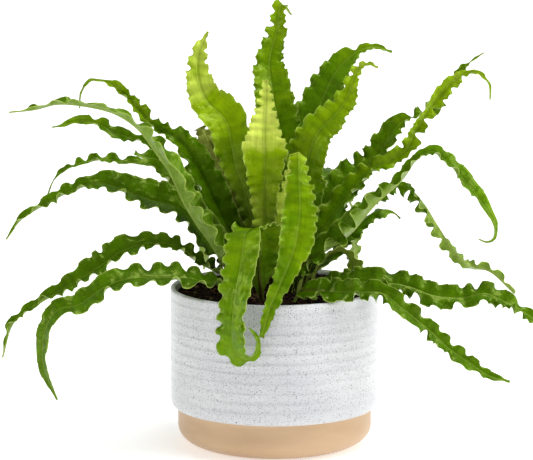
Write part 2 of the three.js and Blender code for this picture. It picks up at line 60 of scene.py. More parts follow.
def eased(values, share):
    # Value of a list along a share of 0 to 1, eased by a smoothstep between its entries.
    values = np.asarray(values, float)
    place = np.clip(share, 0, 1) * (len(values) - 1)
    index = np.minimum(place.astype(int), len(values) - 2)
    t = smooth(0, 1, place - index)
    return values[index] * (1 - t) + values[index + 1] * t


def wander(rng, length, spacing, share):
    # Smooth random line from -1 to 1: a random value about every spacing, eased between them.
    return eased(rng.uniform(-1, 1, int(length / spacing) + 3), share)


def rotated(a, b, angle):
    # Two coordinates turned by an angle in their plane: a cos - b sin and a sin + b cos.
    return a * np.cos(angle) - b * np.sin(angle), a * np.sin(angle) + b * np.cos(angle)


def splinePoints(points, perSpan=40):
    # Centripetal Catmull-Rom curve through all points: each span is a cubic whose end slopes
    # are weighed by the square root of the chords; the end chords are mirrored.
    points = np.asarray(points, float)
    padded = np.vstack([2 * points[:1] - points[1:2], points, 2 * points[-1:] - points[-2:-1]])
    p0, p1, p2, p3 = padded[:-3], padded[1:-2], padded[2:-1], padded[3:]
    d0, d1, d2 = [np.sqrt(np.linalg.norm(b - a, axis=1))[:, None]
                  for a, b in ((p0, p1), (p1, p2), (p2, p3))]
    slopeOut = ((p1 - p0) / d0 - (p2 - p0) / (d0 + d1) + (p2 - p1) / d1) * d1
    slopeIn = ((p2 - p1) / d1 - (p3 - p1) / (d1 + d2) + (p3 - p2) / d2) * d1
    t = (np.arange(perSpan) / perSpan)[None, :, None]
    a, b, m, n = p1[:, None], p2[:, None], slopeOut[:, None], slopeIn[:, None]
    curve = a + m * t + (3 * (b - a) - 2 * m - n) * t ** 2 + (2 * (a - b) + m + n) * t ** 3
    return np.vstack([curve.reshape(-1, 3), points[-1:]])


def evenly(points, step, fewest=24):
    # The same line with stations at even steps of its own length, and that length.
    run = np.concatenate([[0], np.cumsum(np.linalg.norm(np.diff(points, axis=0), axis=1))])
    places = np.linspace(0, run[-1], max(fewest, int(round(run[-1] / step)) + 1))
    return np.stack([np.interp(places, run, points[:, k]) for k in range(3)], axis=1), run[-1]


def carriedSides(tangents, first):
    # Frame that turns as little as it can: each side is the last one without its part
    # along the new tangent.
    sides = np.empty_like(tangents)
    side = np.asarray(first, float)
    for i, tangent in enumerate(tangents):
        side = unit(side - tangent * (side @ tangent))
        sides[i] = side
    return sides


def makeMesh(name, points, quads, triangles=()):
    # Mesh from arrays of points in millimetres and of quads, and triangles where given.
    mesh = bpy.data.meshes.new(name)
    faces = [np.asarray(group, np.int32) for group in (quads, triangles) if len(group)]
    loops = np.concatenate([group.ravel() for group in faces])
    sizes = np.concatenate([np.full(len(group), group.shape[1], np.int32) for group in faces])
    starts = np.concatenate([[0], np.cumsum(sizes)[:-1]]).astype(np.int32)
    mesh.vertices.add(len(points))
    mesh.vertices.foreach_set("co", (np.asarray(points, float) * metre).astype(np.float32).ravel())
    mesh.loops.add(len(loops))
    mesh.loops.foreach_set("vertex_index", loops)
    mesh.polygons.add(len(sizes))
    mesh.polygons.foreach_set("loop_start", starts)
    mesh.polygons.foreach_set("loop_total", sizes)
    mesh.update(calc_edges=True)
    mesh.validate()
    mesh.shade_smooth()
    piece = bpy.data.objects.new(name, mesh)
    bpy.context.scene.collection.objects.link(piece)
    return piece


def setFloats(piece, name, values):
    # One number for each vertex, kept as an attribute.
    layer = piece.data.attributes.new(name, "FLOAT", "POINT")
    layer.data.foreach_set("value", np.asarray(values, np.float32).ravel())


def setUv(piece, pairs):
    # One UV pair for each vertex, carried to the loops.
    mesh = piece.data
    corner = np.empty(len(mesh.loops), np.int32)
    mesh.loops.foreach_get("vertex_index", corner)
    layer = mesh.uv_layers.new(name="UVMap")
    layer.data.foreach_set("uv", np.asarray(pairs, np.float32)[corner].ravel())


def ringQuads(rows, sides):
    # Quads between rings of points, row by row; each ring joins its last point to its first.
    i, j = np.meshgrid(np.arange(rows - 1) * sides, np.arange(sides), indexing="ij")
    after = (j + 1) % sides
    return np.stack([i + j, i + after, i + sides + after, i + sides + j], axis=2).reshape(-1, 4)


def makeTurned(name, rings, first, last, downward=False):
    # Closed mesh of rings round the Z axis, with a fan of triangles to a middle point at each
    # end. Its faces look outward where the rings go up the outside; downward is for rings
    # that go down it.
    rows, sides = rings.shape[:2]
    j = np.arange(sides)
    after = (j + 1) % sides
    end, count = (rows - 1) * sides, rows * sides
    fans = np.concatenate([np.stack([np.full(sides, count), after, j], axis=1),
                           np.stack([np.full(sides, count + 1), end + j, end + after], axis=1)])
    turn = -1 if downward else 1
    middles = [[0.0, 0.0, first], [0.0, 0.0, last]]
    return makeMesh(name, np.vstack([rings.reshape(-1, 3), middles]),
                    ringQuads(rows, sides)[:, ::turn], fans[:, ::turn])


def roundTheAxis(r, angle, z):
    # Points x = r cos(angle), y = r sin(angle) and z, for every pair of ring and angle.
    return np.stack(np.broadcast_arrays(r * np.cos(angle), r * np.sin(angle), z), axis=2)


def finishPiece(piece, materials, slot, *replaced):
    # Materials, the node that carries the piece, its slot (not used), and the CAD nodes that it replaces.
    for material in materials:
        piece.data.materials.append(material)
    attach(piece, "root")
    if replaced:
        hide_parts(*replaced)
    return piece


# Shader helpers
def newMaterial(name):
    # A material without nodes, and its tree.
    material = bpy.data.materials.new(name)
    material.use_nodes = True
    tree = material.node_tree
    tree.nodes.clear()
    return material, tree


def addNode(tree, kind, inputs=None, **options):
    # A shader node; an input whose value is a socket is linked, any other is set.
    node = tree.nodes.new("ShaderNode" + kind)
    for key, value in options.items():
        setattr(node, key, value)
    for key, value in (inputs or {}).items():
        if isinstance(value, bpy.types.NodeSocket):
            tree.links.new(value, node.inputs[key])
        else:
            node.inputs[key].default_value = value
    return node


def placeOf(tree):
    # The shaded point in the part's own frame, in metres.
    return addNode(tree, "TexCoord").outputs["Object"]


def maths(tree, operation, a, b=0.0):
    # One operation on two numbers.
    return addNode(tree, "Math", {0: a, 1: b}, operation=operation).outputs[0]


def times(tree, a, b):
    # Product of two numbers.
    return maths(tree, "MULTIPLY", a, b)


def total(tree, *values):
    # Sum of two or more numbers.
    result = values[0]
    for value in values[1:]:
        result = maths(tree, "ADD", result, value)
    return result


def mapped(tree, value, low, high, toLow=0.0, toHigh=1.0):
    # Smoothstep of a number from low to high, carried to toLow and toHigh.
    node = addNode(tree, "MapRange", {"Value": value, "From Min": low, "From Max": high,
                                      "To Min": toLow, "To Max": toHigh})
    node.interpolation_type = "SMOOTHSTEP"
    return node.outputs["Result"]


def blended(tree, factor, a, b, mode="MIX"):
    # Colour a * (1 - factor) + b * factor, or another way to mix the two.
    node = tree.nodes.new("ShaderNodeMix")
    node.data_type, node.blend_type = "RGBA", mode
    for index, value in ((0, factor), (6, a), (7, b)):
        if isinstance(value, bpy.types.NodeSocket):
            tree.links.new(value, node.inputs[index])
        else:
            node.inputs[index].default_value = value if index == 0 else (*value, 1.0)
    return node.outputs[2]


def layered(tree, mask, colour, layer):
    # A layer is a colour and the share of it that shows where the mask is 1.
    added, share = layer
    return blended(tree, times(tree, mask, share), colour, added)


def ramped(tree, factor, stops):
    # Colour along a ramp of places and colours.
    node = addNode(tree, "ValToRGB", {0: factor})
    ramp = node.color_ramp
    while len(ramp.elements) < len(stops):
        ramp.elements.new(0.5)
    for element, (place, colour) in zip(ramp.elements, stops):
        element.position, element.color = place, (*colour, 1.0)
    return node.outputs[0]


def noiseOf(tree, vector, scale, detail=3.0, roughness=0.5):
    # Noise around 0.5, with one scale or one for each axis.
    if isinstance(scale, tuple):
        vector = addNode(tree, "Mapping", {"Vector": vector, "Scale": scale}).outputs[0]
        scale = 1.0
    node = addNode(tree, "TexNoise", {"Vector": vector, "Scale": scale, "Detail": detail,
                                      "Roughness": roughness})
    return node.outputs["Fac"]


def attributeOf(tree, name):
    # Number that the mesh keeps for each vertex.
    return addNode(tree, "Attribute", attribute_name=name).outputs["Fac"]


def bumpOf(tree, height, strength, distance):
    # Normal tilted by the slope of a height, for which 1 stands for the distance in metres.
    return addNode(tree, "Bump", {"Height": height, "Strength": strength,
                                  "Distance": distance}).outputs[0]


def coated(tree, colour, roughness, specular, others):
    # Principled surface, with further inputs by name.
    return addNode(tree, "BsdfPrincipled", {"Base Color": colour, "Roughness": roughness,
                                            "Specular IOR Level": specular, **others}).outputs[0]


def shown(tree, surface):
    # The surface becomes the material's own.
    addNode(tree, "OutputMaterial", {"Surface": surface})


# Fronds
# roll, cup, swing, pitch, lobe and dry are lists of values from foot to tip. Any setting can be
# given otherwise for one frond, in the table of fronds.
leafLook = {
    "stationStep": 1.1,
    "across": (0.0, 0.06, 0.13, 0.25, 0.4, 0.54, 0.66, 0.77, 0.87, 0.95, 1.0),  # of the half width
    "footDepth": 12.0,
    "stemAbove": 12.0,
    "stemHalfWidth": 1.9,
    "stemThickness": 2.4,
    "stemOpens": (0.7, 1.6),  # in stem lengths, between which the stem widens into the blade
    "wavesBegin": (0.8, 2.2),  # in stem lengths, between which waves and lobes come in
    "bladeThickness": 0.8,
    "marginThickness": 0.5,
    "ribDepth": 1.3,
    "ribHalfWidth": 1.2,
    "ribWidest": 0.5,  # of the half width
    "ribFlank": 1.3,  # half widths of the rib over which its keel runs out
    "ribTaper": 0.8,  # share of the keel that is gone at the tip
    "ribGroove": 0.35,
    "grooveTaper": 0.6,
    "roll": (0, 0),  # degrees about the midrib
    "sway": 6.0,  # degrees the blade rolls to and fro
    "cup": (25, 22, 22),  # degrees each half rises from the rib
    "swing": (0.9, 1.0, 1.0, 1.1, 1.1),  # radians that the outer blade swings up and down
    "waved": 6.5,  # width along each margin that swings
    "stillMost": 0.8,  # largest share of the half width that doesn't
    "onset": 1.2,  # power by which the swing grows towards the margin
    "ripple": 0.2,  # share of the swing that reaches in to the rib
    "pitch": (10.0, 10.0, 12.0, 18.0, 23.0),  # length of one wave
    "waveShares": (0.85, 0.4),  # of the wave and of a slower one
    "slower": 0.43,  # turns of the slower wave for one of the wave
    "slant": 1.1,  # how far, in radians, a fold runs ahead from rib to margin
    "meander": 0.6,  # how far a wave's crest swells along the margin
    "meanderWidth": (4, 9),  # half widths between which it does so
    "drift": 30.0,  # length of the slow random changes
    "uneven": 2.6,  # radians that the waves run early or late
    "skew": 0.5,  # radians that their crests lean
    "strengthDrift": 17.0,
    "strength": 0.7,  # how much stronger or weaker than the others a wave can be
    "hands": (1.0, 1.0),  # how strongly the two margins are waved and lobed
    "lobe": (0.5, 0.5),  # how deeply a narrow blade is lobed
    "leastLobe": 0.1,
    "lobeWidth": (11.0, 4.5),  # half widths between which lobes grow from least to full
    "lobeEnd": (0.6, 1.8),  # half widths at the tip between which they come in
    "lobeLead": 0.3,  # radians that a lobe runs ahead of its wave
    "lobeReach": (0.7, 1.0),  # how far a lobe stands out and the gap between two cuts in
    "gapShape": 1.7,  # power that narrows the gaps
    "tooth": 0.8,
    "toothMost": 0.2,  # of the half width
    "grey": 1.0,  # how grey the lower face is
    "dry": (0, 0),  # how brown the blade is
    # The pale rim is a painted highlight along the margins
    "edgeHighlightFrom": 0.93,  # share of the half width at which the pale rim begins
    "sharp": 50,  # degrees above which an edge is drawn sharp
}

# Each frond: radius and angle round the pot of its foot, angle that its lower face looks to
# there, slot, whole widths from foot to tip, tones from foot to tip (0 dark, 1 mid, 2 pale,
# 3 yellow green), what differs from leafLook, and the midrib's route above the soil. The
# tones are partly the fronds' own, such as paler young tips, and partly painted light and
# shade: darker towards the foot where shade falls, lighter on shaded or backlit parts such
# as the centre frond's lower half and frond_right_blunt. Angles run from +X, anticlockwise
# seen from above. Seven fronds of the back share two sets of habits.
highBack = dict(slot="mid", wide=(4, 8, 21, 28, 28, 25, 17, 11, 2), toneAndPaintedLight=(0.5, 0.9, 1.0))
lowBack = dict(slot="dark", wide=(4, 8, 20, 26, 26, 23, 16, 10, 2), toneAndPaintedLight=(0.4, 0.6, 0.8))
fronds = {
    "frond_top_tall": dict(foot=(11, 100), turn=90, slot="dark",
        wide=(4, 9, 18, 26, 31, 33, 32, 28, 19, 12, 2), cup=(25, 15, 15), pitch=(12, 11, 10, 10),
        swing=(0.6, 0.6, 0.7), ripple=0.05, lobe=(0.3, 0.3), toneAndPaintedLight=(0.7, 1.0, 1.3, 1.6),
        route=[(-4, 12, 157.5), (3, 16, 203), (5, 19, 235), (-1, 32, 266.5), (-4, 46, 291),
            (2, 56, 314.5), (5, 60, 333.5), (13, 70, 325)]),
    "frond_centre": dict(foot=(11, 200), turn=90, slot="pale",
        wide=(4, 6, 10, 14, 18, 21, 28, 35, 23, 12, 4), cup=(25, 20, 15, 12), pitch=(11, 9, 7),
        swing=(0.5, 0.5, 0.5, 0.6), ripple=0.04, lobe=(0.3, 0.3), leastLobe=0.08,
        toneAndPaintedLight=(1.0, 1.3, 1.7, 2.1, 2.3, 2.4, 2.4, 2.3, 2.1, 2.0, 1.8, 2.6, 2.8, 2.8, 2.9, 2.95),
        route=[(-8, -5, 156.5), (-8, -9, 192), (-8, -15, 224.5), (-8, -7, 245.5), (-7, 3, 265),
            (-7, 8, 282)]),
    "frond_left_upright": dict(foot=(12, 172), turn=100, slot="pale",
        wide=(4, 7, 9, 11, 16, 22, 30, 32, 23, 14, 2), cup=(25, 12, 15), pitch=(12, 11, 10),
        swing=(0.6, 0.6, 0.7), ripple=0.05, lobe=(0.35, 0.35), toneAndPaintedLight=(0.6, 0.8, 0.9, 1.3, 1.8, 2.3, 2.6),
        dry=(0.3, 0.3, 0.3, 0.2, 0, 0, 0, 0),
        route=[(-15, 0, 154), (-20, -1, 183.5), (-25, -2, 203), (-30, -3, 218), (-33, -4, 233),
            (-37, 0, 251), (-53, 6, 268), (-59, 12, 286.5), (-58, 16, 302.5), (-51, 20, 317.5)]),
    "frond_old": dict(foot=(16, 120), turn=100, slot="dark", wide=(4, 8, 14, 18, 20, 18, 12, 4),
        toneAndPaintedLight=(0.4, 0.5), dry=(0.3, 0.6),
        route=[(-10, 24, 159), (-15, 32, 186), (-22, 35, 209), (-26, 40, 231)]),
    "frond_left_back": dict(foot=(23, 115), turn=120, slot="dark",
        wide=(4, 8, 14, 18, 20, 20, 22, 25, 26, 22, 12), cup=(25, 15, 10), pitch=(12, 9, 7),
        swing=(0.5, 0.5, 0.6), toneAndPaintedLight=(0.4, 0.6, 0.8), dry=(0.0, 0.2, 0.5, 0.6),
        route=[(-25, 34, 167.5), (-40, 45, 204.5), (-51, 52, 227), (-58, 58, 238)]),
    "frond_right_upright_dark": dict(foot=(11, 50), turn=70, slot="dark",
        wide=(4, 13, 20, 25, 31, 34, 34, 30, 23, 7, 2), cup=(25, 15, 15), pitch=(12, 12, 12),
        swing=(0.3, 0.6, 0.7, 0.7), ripple=0.08, lobe=(0.3, 0.3), leastLobe=0.12,
        toneAndPaintedLight=(0.4, 0.8, 0.8, 1.3),
        route=[(12, 18, 157.5), (19, 24, 194.5), (21, 30, 228.5), (33, 37, 254), (47, 46, 282),
            (63, 51, 297.5), (78, 53, 301.5), (91, 53, 297.5)]),
    "frond_right_upright_pale": dict(foot=(11, 5), turn=70, slot="pale",
        wide=(4, 13, 20, 26, 30, 32, 31, 26, 18, 8, 2), cup=(25, 15, 20), pitch=(12, 11, 9),
        swing=(0.6, 0.7, 0.8), ripple=0.08, lobe=(0.3, 0.3), leastLobe=0.12, toneAndPaintedLight=(0.7, 1.0, 1.5, 2.2),
        route=[(16, 1, 159), (24, 0, 198.5), (26, -3, 225), (33, -3, 243), (46, 0, 256), (55, 4, 268),
            (59, 8, 280), (64, 12, 290), (71, 14, 293.5), (79, 14, 290.5)]),
    "frond_front_right": dict(foot=(11, -60), turn=-90, slot="mid",
        wide=(4, 6, 11, 18, 23, 25, 18, 12, 14, 21, 26, 26, 18, 13, 9, 4),
        cup=(25, 20, 15, 0, -30, -30, -15, 5, 10, 10, 10), pitch=(10, 11, 11, 10, 8, 8, 9, 11, 12, 12),
        swing=(0.8, 0.9, 0.9, 0.7, 0.4, 0.35, 0.45, 0.6, 0.6, 0.5), ripple=0.05,
        lobe=(0.4, 0.3, 0.1, 0.05, 0.05, 0.1, 0.2, 0.2, 0.1, 0.1), leastLobe=0.06, grey=0.1,
        toneAndPaintedLight=(0.9, 1.4, 1.9, 2.5, 2.6, 1.4, 1.3, 1.2, 1.1, 1.0),
        route=[(7, -16, 145), (12, -26, 175), (15, -34, 207.5), (17, -42, 230), (18, -51, 235.5),
            (18, -61, 223), (18.5, -69, 210.5), (18.5, -74, 193.5), (16, -80, 173.5), (11, -84, 157.5),
            (4, -88, 141.5), (-4, -90, 122.5), (-10, -91, 101.5)]),
    "frond_front_left": dict(foot=(23, 245), turn=-90, slot="mid",
        wide=(5, 18, 32, 36, 31, 29, 27, 24, 27, 6, 2), cup=(15, 12, 6, 6, 8, 10),
        pitch=(9, 10, 12, 11), swing=(0.7, 0.8, 0.7, 0.6), ripple=0.08, lobe=(0.3, 0.4, 0.4, 0.1),
        grey=0.1, toneAndPaintedLight=(0.9, 1.3, 1.1, 1.0),
        route=[(-12, -24, 141.5), (-10, -36, 162), (-14, -54, 177.5), (-22, -70, 177), (-24, -79, 165.5),
            (-26, -86, 152.5), (-29, -90, 137.5), (-31, -92, 122.5), (-32, -93, 106.5), (-30, -93, 92.5),
            (-22, -93, 85), (-14, -93, 89.5), (-13, -93, 100.5), (-19, -93, 109.5)]),
    "frond_right_tall_dark": dict(foot=(17, 38), turn=30, roll=(0, 38, 32, 26), slot="dark",
        wide=(4, 12, 19, 26, 29, 25, 22, 8, 12, 6, 1), cup=(25, 22, 20), pitch=(12, 13, 13, 14, 14),
        swing=(0.4, 0.8, 1.0, 1.1), leastLobe=0.22, toneAndPaintedLight=(0.5, 0.9, 1.2, 1.2),
        route=[(23, 18, 149), (43, 29, 175), (58, 38, 199.5), (77, 45, 213.5), (91, 46, 235.5),
            (100, 48, 244.5), (125, 52, 253.5), (133, 54, 265.5), (148, 56, 286.5), (162, 56, 296.5)]),
    "frond_right_tall_pale": dict(foot=(17, 18), turn=20, roll=(0, 38, 30, 20, 60, 100, 60, 20),
        slot="pale", wide=(4, 8, 18, 24, 22, 13, 12, 10, 12, 4, 1), cup=(25, 25, 20),
        pitch=(13, 13, 12, 14), swing=(0.3, 0.6, 0.9, 1.0), hands=(1.0, 0.6), leastLobe=0.15,
        toneAndPaintedLight=(0.6, 1.1, 1.8, 2.1),
        route=[(24, 7, 146.5), (44, 14, 173.5), (59, 21, 193.5), (76, 25, 210.5), (90, 26, 217.5),
            (102, 27, 225.5), (108, 28, 237.5), (116, 28, 252.5), (131, 29, 271.5), (144, 30, 282.5),
            (156, 30, 284), (165, 30, 275.5), (166, 29, 263.5)]),
    "frond_right_arch": dict(foot=(17, -22), turn=0, roll=(0, 40, 12, -5, 20, 38, 38, 30), slot="mid",
        wide=(4, 16, 24, 28, 24, 12, 8, 14, 15, 7, 1), cup=(25, 28, 42, 42, 22, 18, 12),
        pitch=(15, 17, 17, 12, 14, 28, 34), swing=(1.1, 1.3, 1.2, 0.8, 0.4, 0.3), hands=(1.2, 0.3),
        waved=9, lobe=(0.3, 0.4, 0.5, 0.5, 0.6, 0.2), toneAndPaintedLight=(0.5, 0.8, 0.9, 1.1),
        route=[(19, -9, 137.5), (36, -14, 152), (56, -20, 167.5), (75, -22, 190.5), (96, -22, 210),
            (107, -21, 225), (119, -20, 231), (131, -20, 223), (144, -20, 209), (156, -20, 193.5),
            (166, -21, 177.5), (168, -21, 169.5), (166, -22, 163.5), (161, -22, 161.5),
            (155, -22, 163.5)]),
    "frond_right_thin": dict(foot=(21, -3), turn=0, roll=(0, 20, 20, 40, 110, 180, 250, 320, 380),
        slot="mid", wide=(4, 5, 8, 11, 12, 11, 11, 11, 10, 8, 3), cup=(25, 35, 40), pitch=(12, 12, 13),
        swing=(0.3, 0.6, 0.8, 0.8), toneAndPaintedLight=(0.5, 0.9, 1.0),
        route=[(26, -1, 137), (49, -3, 163.5), (74, -3, 187.5), (90, 1, 199.5), (102, 5, 198.5),
            (114, 6, 185), (124, 6, 169), (135, 6, 153), (147, 6, 139.5), (166, 6, 133.5),
            (185, 6, 116.5)]),
    "frond_right_low": dict(foot=(29, -42), turn=0, roll=(0, 15, 15, 15, 20), slot="mid",
        wide=(4, 13, 20, 23, 23, 21, 20, 19, 17, 9, 2), cup=(20, 10, 8, 8), pitch=(12, 14, 15, 16),
        swing=(0.9, 1.1, 1.1, 0.9), hands=(1.4, 0.6), waved=10, leastLobe=0.07, toneAndPaintedLight=(0.3, 0.45, 0.65),
        route=[(25, -24, 125), (46, -38, 132), (64, -46, 135.5), (97, -50, 133.5), (122, -52, 125.5),
            (144, -52, 124.5), (158, -52, 127.5), (175, -52, 120.5), (194, -54, 109.5),
            (205, -54, 98.5)]),
    "frond_right_droop": dict(foot=(29, -62), turn=-20, roll=(0, 20, 30, 30, 25), slot="mid",
        wide=(4, 12, 19, 20, 18, 15, 14, 13, 11, 8, 3), cup=(20, 15, 15), pitch=(13, 15, 17, 20),
        swing=(0.8, 0.8, 0.8), hands=(1.4, 0.6), waved=9, leastLobe=0.07, toneAndPaintedLight=(0.3, 0.45, 0.8),
        route=[(19, -36, 126), (34, -54, 130), (46, -66, 131.5), (65, -71, 132.5), (81, -72, 131.5),
            (94, -73, 121.5), (117, -72, 102.5), (130, -72, 90), (147, -72, 78), (162, -72, 68),
            (177, -72, 64)]),
    "frond_right_blunt": dict(foot=(27, -10), turn=0, roll=(0, 0, -5, -30, -60), slot="pale",
        wide=(4, 5, 5, 6, 8, 12, 17, 21, 22, 19, 12), cup=(10, 5, 5), pitch=(9, 8, 7),
        swing=(0.4, 0.5, 0.6), hands=(0.5, 0.5), waved=5, lobe=(0.3, 0.2), grey=0.8,
        toneAndPaintedLight=(2.2, 2.9, 3.0),
        route=[(29, -3, 133), (35, -3, 143), (43, -4, 150), (51, -5, 152), (57, -6, 148), (61, -7, 141),
            (64, -8, 133)]),
    "frond_right_short": dict(foot=(23, 25), turn=20, roll=(0, 16), slot="dark",
        wide=(4, 7, 12, 15, 16, 17, 17, 16, 14, 10, 4), cup=(20, 0, -25, -28), pitch=(12, 13),
        swing=(0.7, 0.8), hands=(1.0, 0.4), toneAndPaintedLight=(0.4, 0.8),
        route=[(23, 12, 127.5), (43, 22, 143), (57, 28, 158), (69, 32, 169.5), (80, 34, 176.5),
            (90, 36, 176.5), (98, 36, 170.5)]),
    "frond_left_channelled": dict(foot=(19, 152), turn=150, roll=(0, -38, -40, -35), slot="dark",
        wide=(4, 6, 15, 28, 32, 28, 16, 12, 9, 3, 1), cup=(30, 38, 40, 35), pitch=(11, 12, 13, 17, 20),
        swing=(0.7, 0.8, 0.8), hands=(1.0, 0.9), leastLobe=0.08, toneAndPaintedLight=(0.2, 0.5, 0.8, 1.1, 1.6, 2.0),
        route=[(-34, 18, 159.5), (-44, 24, 180), (-54, 27, 200.5), (-62, 29, 215.5), (-68, 31, 225.5),
            (-77, 34, 234), (-93, 37, 242), (-113, 40, 263), (-128, 42, 275), (-141, 43, 277),
            (-149, 42, 268), (-151, 41, 255)]),
    "frond_left_high": dict(foot=(21, 212), turn=205, roll=(0, -27, -27, -27, -25, -20, -20),
        slot="pale", wide=(4, 7, 22, 30, 32, 28, 20, 11, 10, 8, 1), cup=(30, 38, 38, 38, 32, 25, 20),
        pitch=(14, 17, 18, 19, 22), swing=(0.5, 0.6, 0.6, 0.8), hands=(0.9, 0.7), waved=11,
        leastLobe=0.06, toneAndPaintedLight=(0.5, 0.8, 0.9, 0.9),
        route=[(-36, -25.5, 141.5), (-48, -28, 162), (-59, -30, 178), (-69, -31, 195.5),
            (-79, -33, 217.5), (-90, -34, 234), (-103, -34, 251), (-120, -32, 262), (-144, -28, 267.5),
            (-165, -26, 268.5), (-181, -26, 264.5), (-201, -28, 262.5)]),
    "frond_left_behind": dict(foot=(25, 153), turn=155, roll=(0, -25, -30), slot="dark",
        wide=(4, 7, 13, 16, 15, 12, 9, 9, 11, 8, 2), cup=(25, 25, 20), pitch=(13, 16, 22, 26),
        swing=(0.5, 0.8, 1.0, 1.1), hands=(0.8, 1.0), toneAndPaintedLight=(0.4, 0.8, 1.3),
        route=[(-36, 26, 155), (-58, 39, 184.5), (-81, 44, 210.5), (-100, 44, 228.5), (-119, 42, 234),
            (-143, 40, 245), (-172, 38, 241)]),
    "frond_left_pale": dict(foot=(21, 174), turn=175, roll=(0, -30, -28), slot="pale",
        wide=(4, 5, 7, 12, 13, 11, 9, 8, 8, 4, 1), cup=(25, 25, 20), pitch=(12, 14, 17),
        swing=(0.5, 0.8, 1.0, 1.1), hands=(0.9, 0.7), toneAndPaintedLight=(0.5, 0.8, 0.9),
        dry=(0.4, 0.4, 0.4, 0.0, 0.0, 0.0),
        route=[(-31, 3, 144), (-47, 5.5, 160), (-62, 9.5, 181), (-77, 12, 199), (-94, 14, 215),
            (-115, 12, 218), (-134, 8, 220.5), (-156, 4, 215.5), (-168, 2, 207.5), (-174, 0, 193.5)]),
    "frond_left_snub": dict(foot=(26, 138), turn=140, roll=(0, -20), slot="dark",
        wide=(4, 8, 16, 20, 20, 18, 14, 8), toneAndPaintedLight=(0.3, 0.7),
        route=[(-31, 38, 148), (-49, 54, 174.5), (-74, 62, 194.5), (-93, 64, 210.5), (-109, 64, 217.5)]),
    "frond_left_big": dict(foot=(22, 193), turn=190, roll=(0, -52, -44, -36, -30, -28), slot="mid",
        wide=(6, 12, 26, 32, 34, 33, 27, 13, 12, 7, 1), cup=(25, 24, 24), pitch=(11, 12, 13, 18, 22),
        swing=(0.7, 0.7, 0.8, 0.9, 1.0), hands=(0.4, 1.0), leastLobe=0.08,
        toneAndPaintedLight=(0.3, 0.3, 0.4, 0.7, 0.9),
        route=[(-33, -8, 143.5), (-48, -10, 158), (-61, -12, 174), (-75, -14, 187.5), (-93, -16, 192.5),
            (-111, -18, 199.5), (-133, -22, 207), (-154, -26, 202), (-174, -28, 192), (-193, -30, 180),
            (-204, -30, 165)]),
    "frond_left_low": dict(foot=(29, 200), turn=200, roll=(0, -35, -35, -25), slot="mid",
        wide=(4, 7, 12, 13, 16, 24, 23, 14, 9, 7, 1), cup=(25, 28, 25), pitch=(10, 11, 12, 16, 20),
        swing=(1.0, 1.0, 0.9, 0.9), hands=(0.7, 1.0), lobe=(0.6, 0.6, 0.5, 0.5), toneAndPaintedLight=(0.2, 0.4, 0.65),
        route=[(-33, -14, 132.5), (-46, -20, 140), (-61, -26, 149.5), (-73, -30, 159), (-91, -34, 163),
            (-113, -38, 158.5), (-135, -42, 144.5), (-159, -44, 130), (-178, -44, 119), (-198, -44, 104),
            (-207, -44, 76.5)]),
    "frond_left_lowest": dict(foot=(29, 222), turn=215, roll=(0, -25, -28, -38, -40), slot="mid",
        wide=(4, 12, 21, 26, 26, 24, 22, 17, 13, 9, 2), cup=(20, 14, 12), pitch=(15, 17, 18, 20),
        swing=(0.9, 1.0, 0.8, 0.3, 0.1), hands=(0.55, 1.0), waved=10, lobe=(0.4, 0.4, 0.3, 0.0, 0.0),
        leastLobe=0.07, toneAndPaintedLight=(0.3, 0.45, 0.6),
        route=[(-31, -27, 128.5), (-49, -43, 134), (-66, -55, 140), (-87, -62, 141.5), (-110, -66, 141.5),
            (-128, -69, 135.5), (-147, -70, 122.5), (-163, -71, 118.5), (-173, -71, 101.5),
            (-174, -71, 75), (-164, -71, 49.5)]),
    "frond_back_right": dict(highBack, foot=(23, 50), turn=54,
        route=[(22, 31, 145.5), (31, 54, 178.5), (41, 78, 197.5), (50, 98, 196.5), (58, 120, 182),
            (62, 132, 160.5)]),
    "frond_back_middle": dict(highBack, foot=(23, 70), turn=78, wide=(4, 9, 22, 30, 30, 27, 18, 12, 2),
        toneAndPaintedLight=(0.5, 0.8, 1.0),
        route=[(9, 31, 150.5), (11, 50, 186), (11, 75, 210), (11, 102, 216.5), (9, 130, 202),
            (8, 148, 179.5)]),
    "frond_back_left": dict(highBack, foot=(23, 93), turn=102,
        route=[(-2, 37, 144), (-10, 58, 171.5), (-22, 80, 191.5), (-33, 100, 200.5), (-40, 122, 186),
            (-44, 136, 165)]),
    "frond_back_low_right": dict(lowBack, foot=(29, 48), turn=48,
        route=[(28, 36, 141), (42, 62, 157), (54, 86, 158.5), (62, 108, 143.5), (66, 124, 118.5)]),
    "frond_back_low_middle": dict(lowBack, foot=(31, 82), turn=80,
        route=[(8, 44, 144), (11, 72, 162.5), (12, 100, 161), (13, 125, 140.5), (13, 138, 111.5)]),
    "frond_back_low_left": dict(lowBack, foot=(29, 112), turn=112,
        route=[(-13, 43, 143), (-22, 70, 157.5), (-30, 96, 155), (-34, 118, 136), (-37, 130, 109)]),
    "frond_back_low_side": dict(lowBack, foot=(32, 134), turn=130,
        wide=(4, 7, 18, 24, 24, 22, 14, 10, 2),
        route=[(-33, 36, 138), (-43, 54, 152.5), (-50, 72, 155.5), (-54, 90, 140.5), (-56, 101, 117.5)]),
}

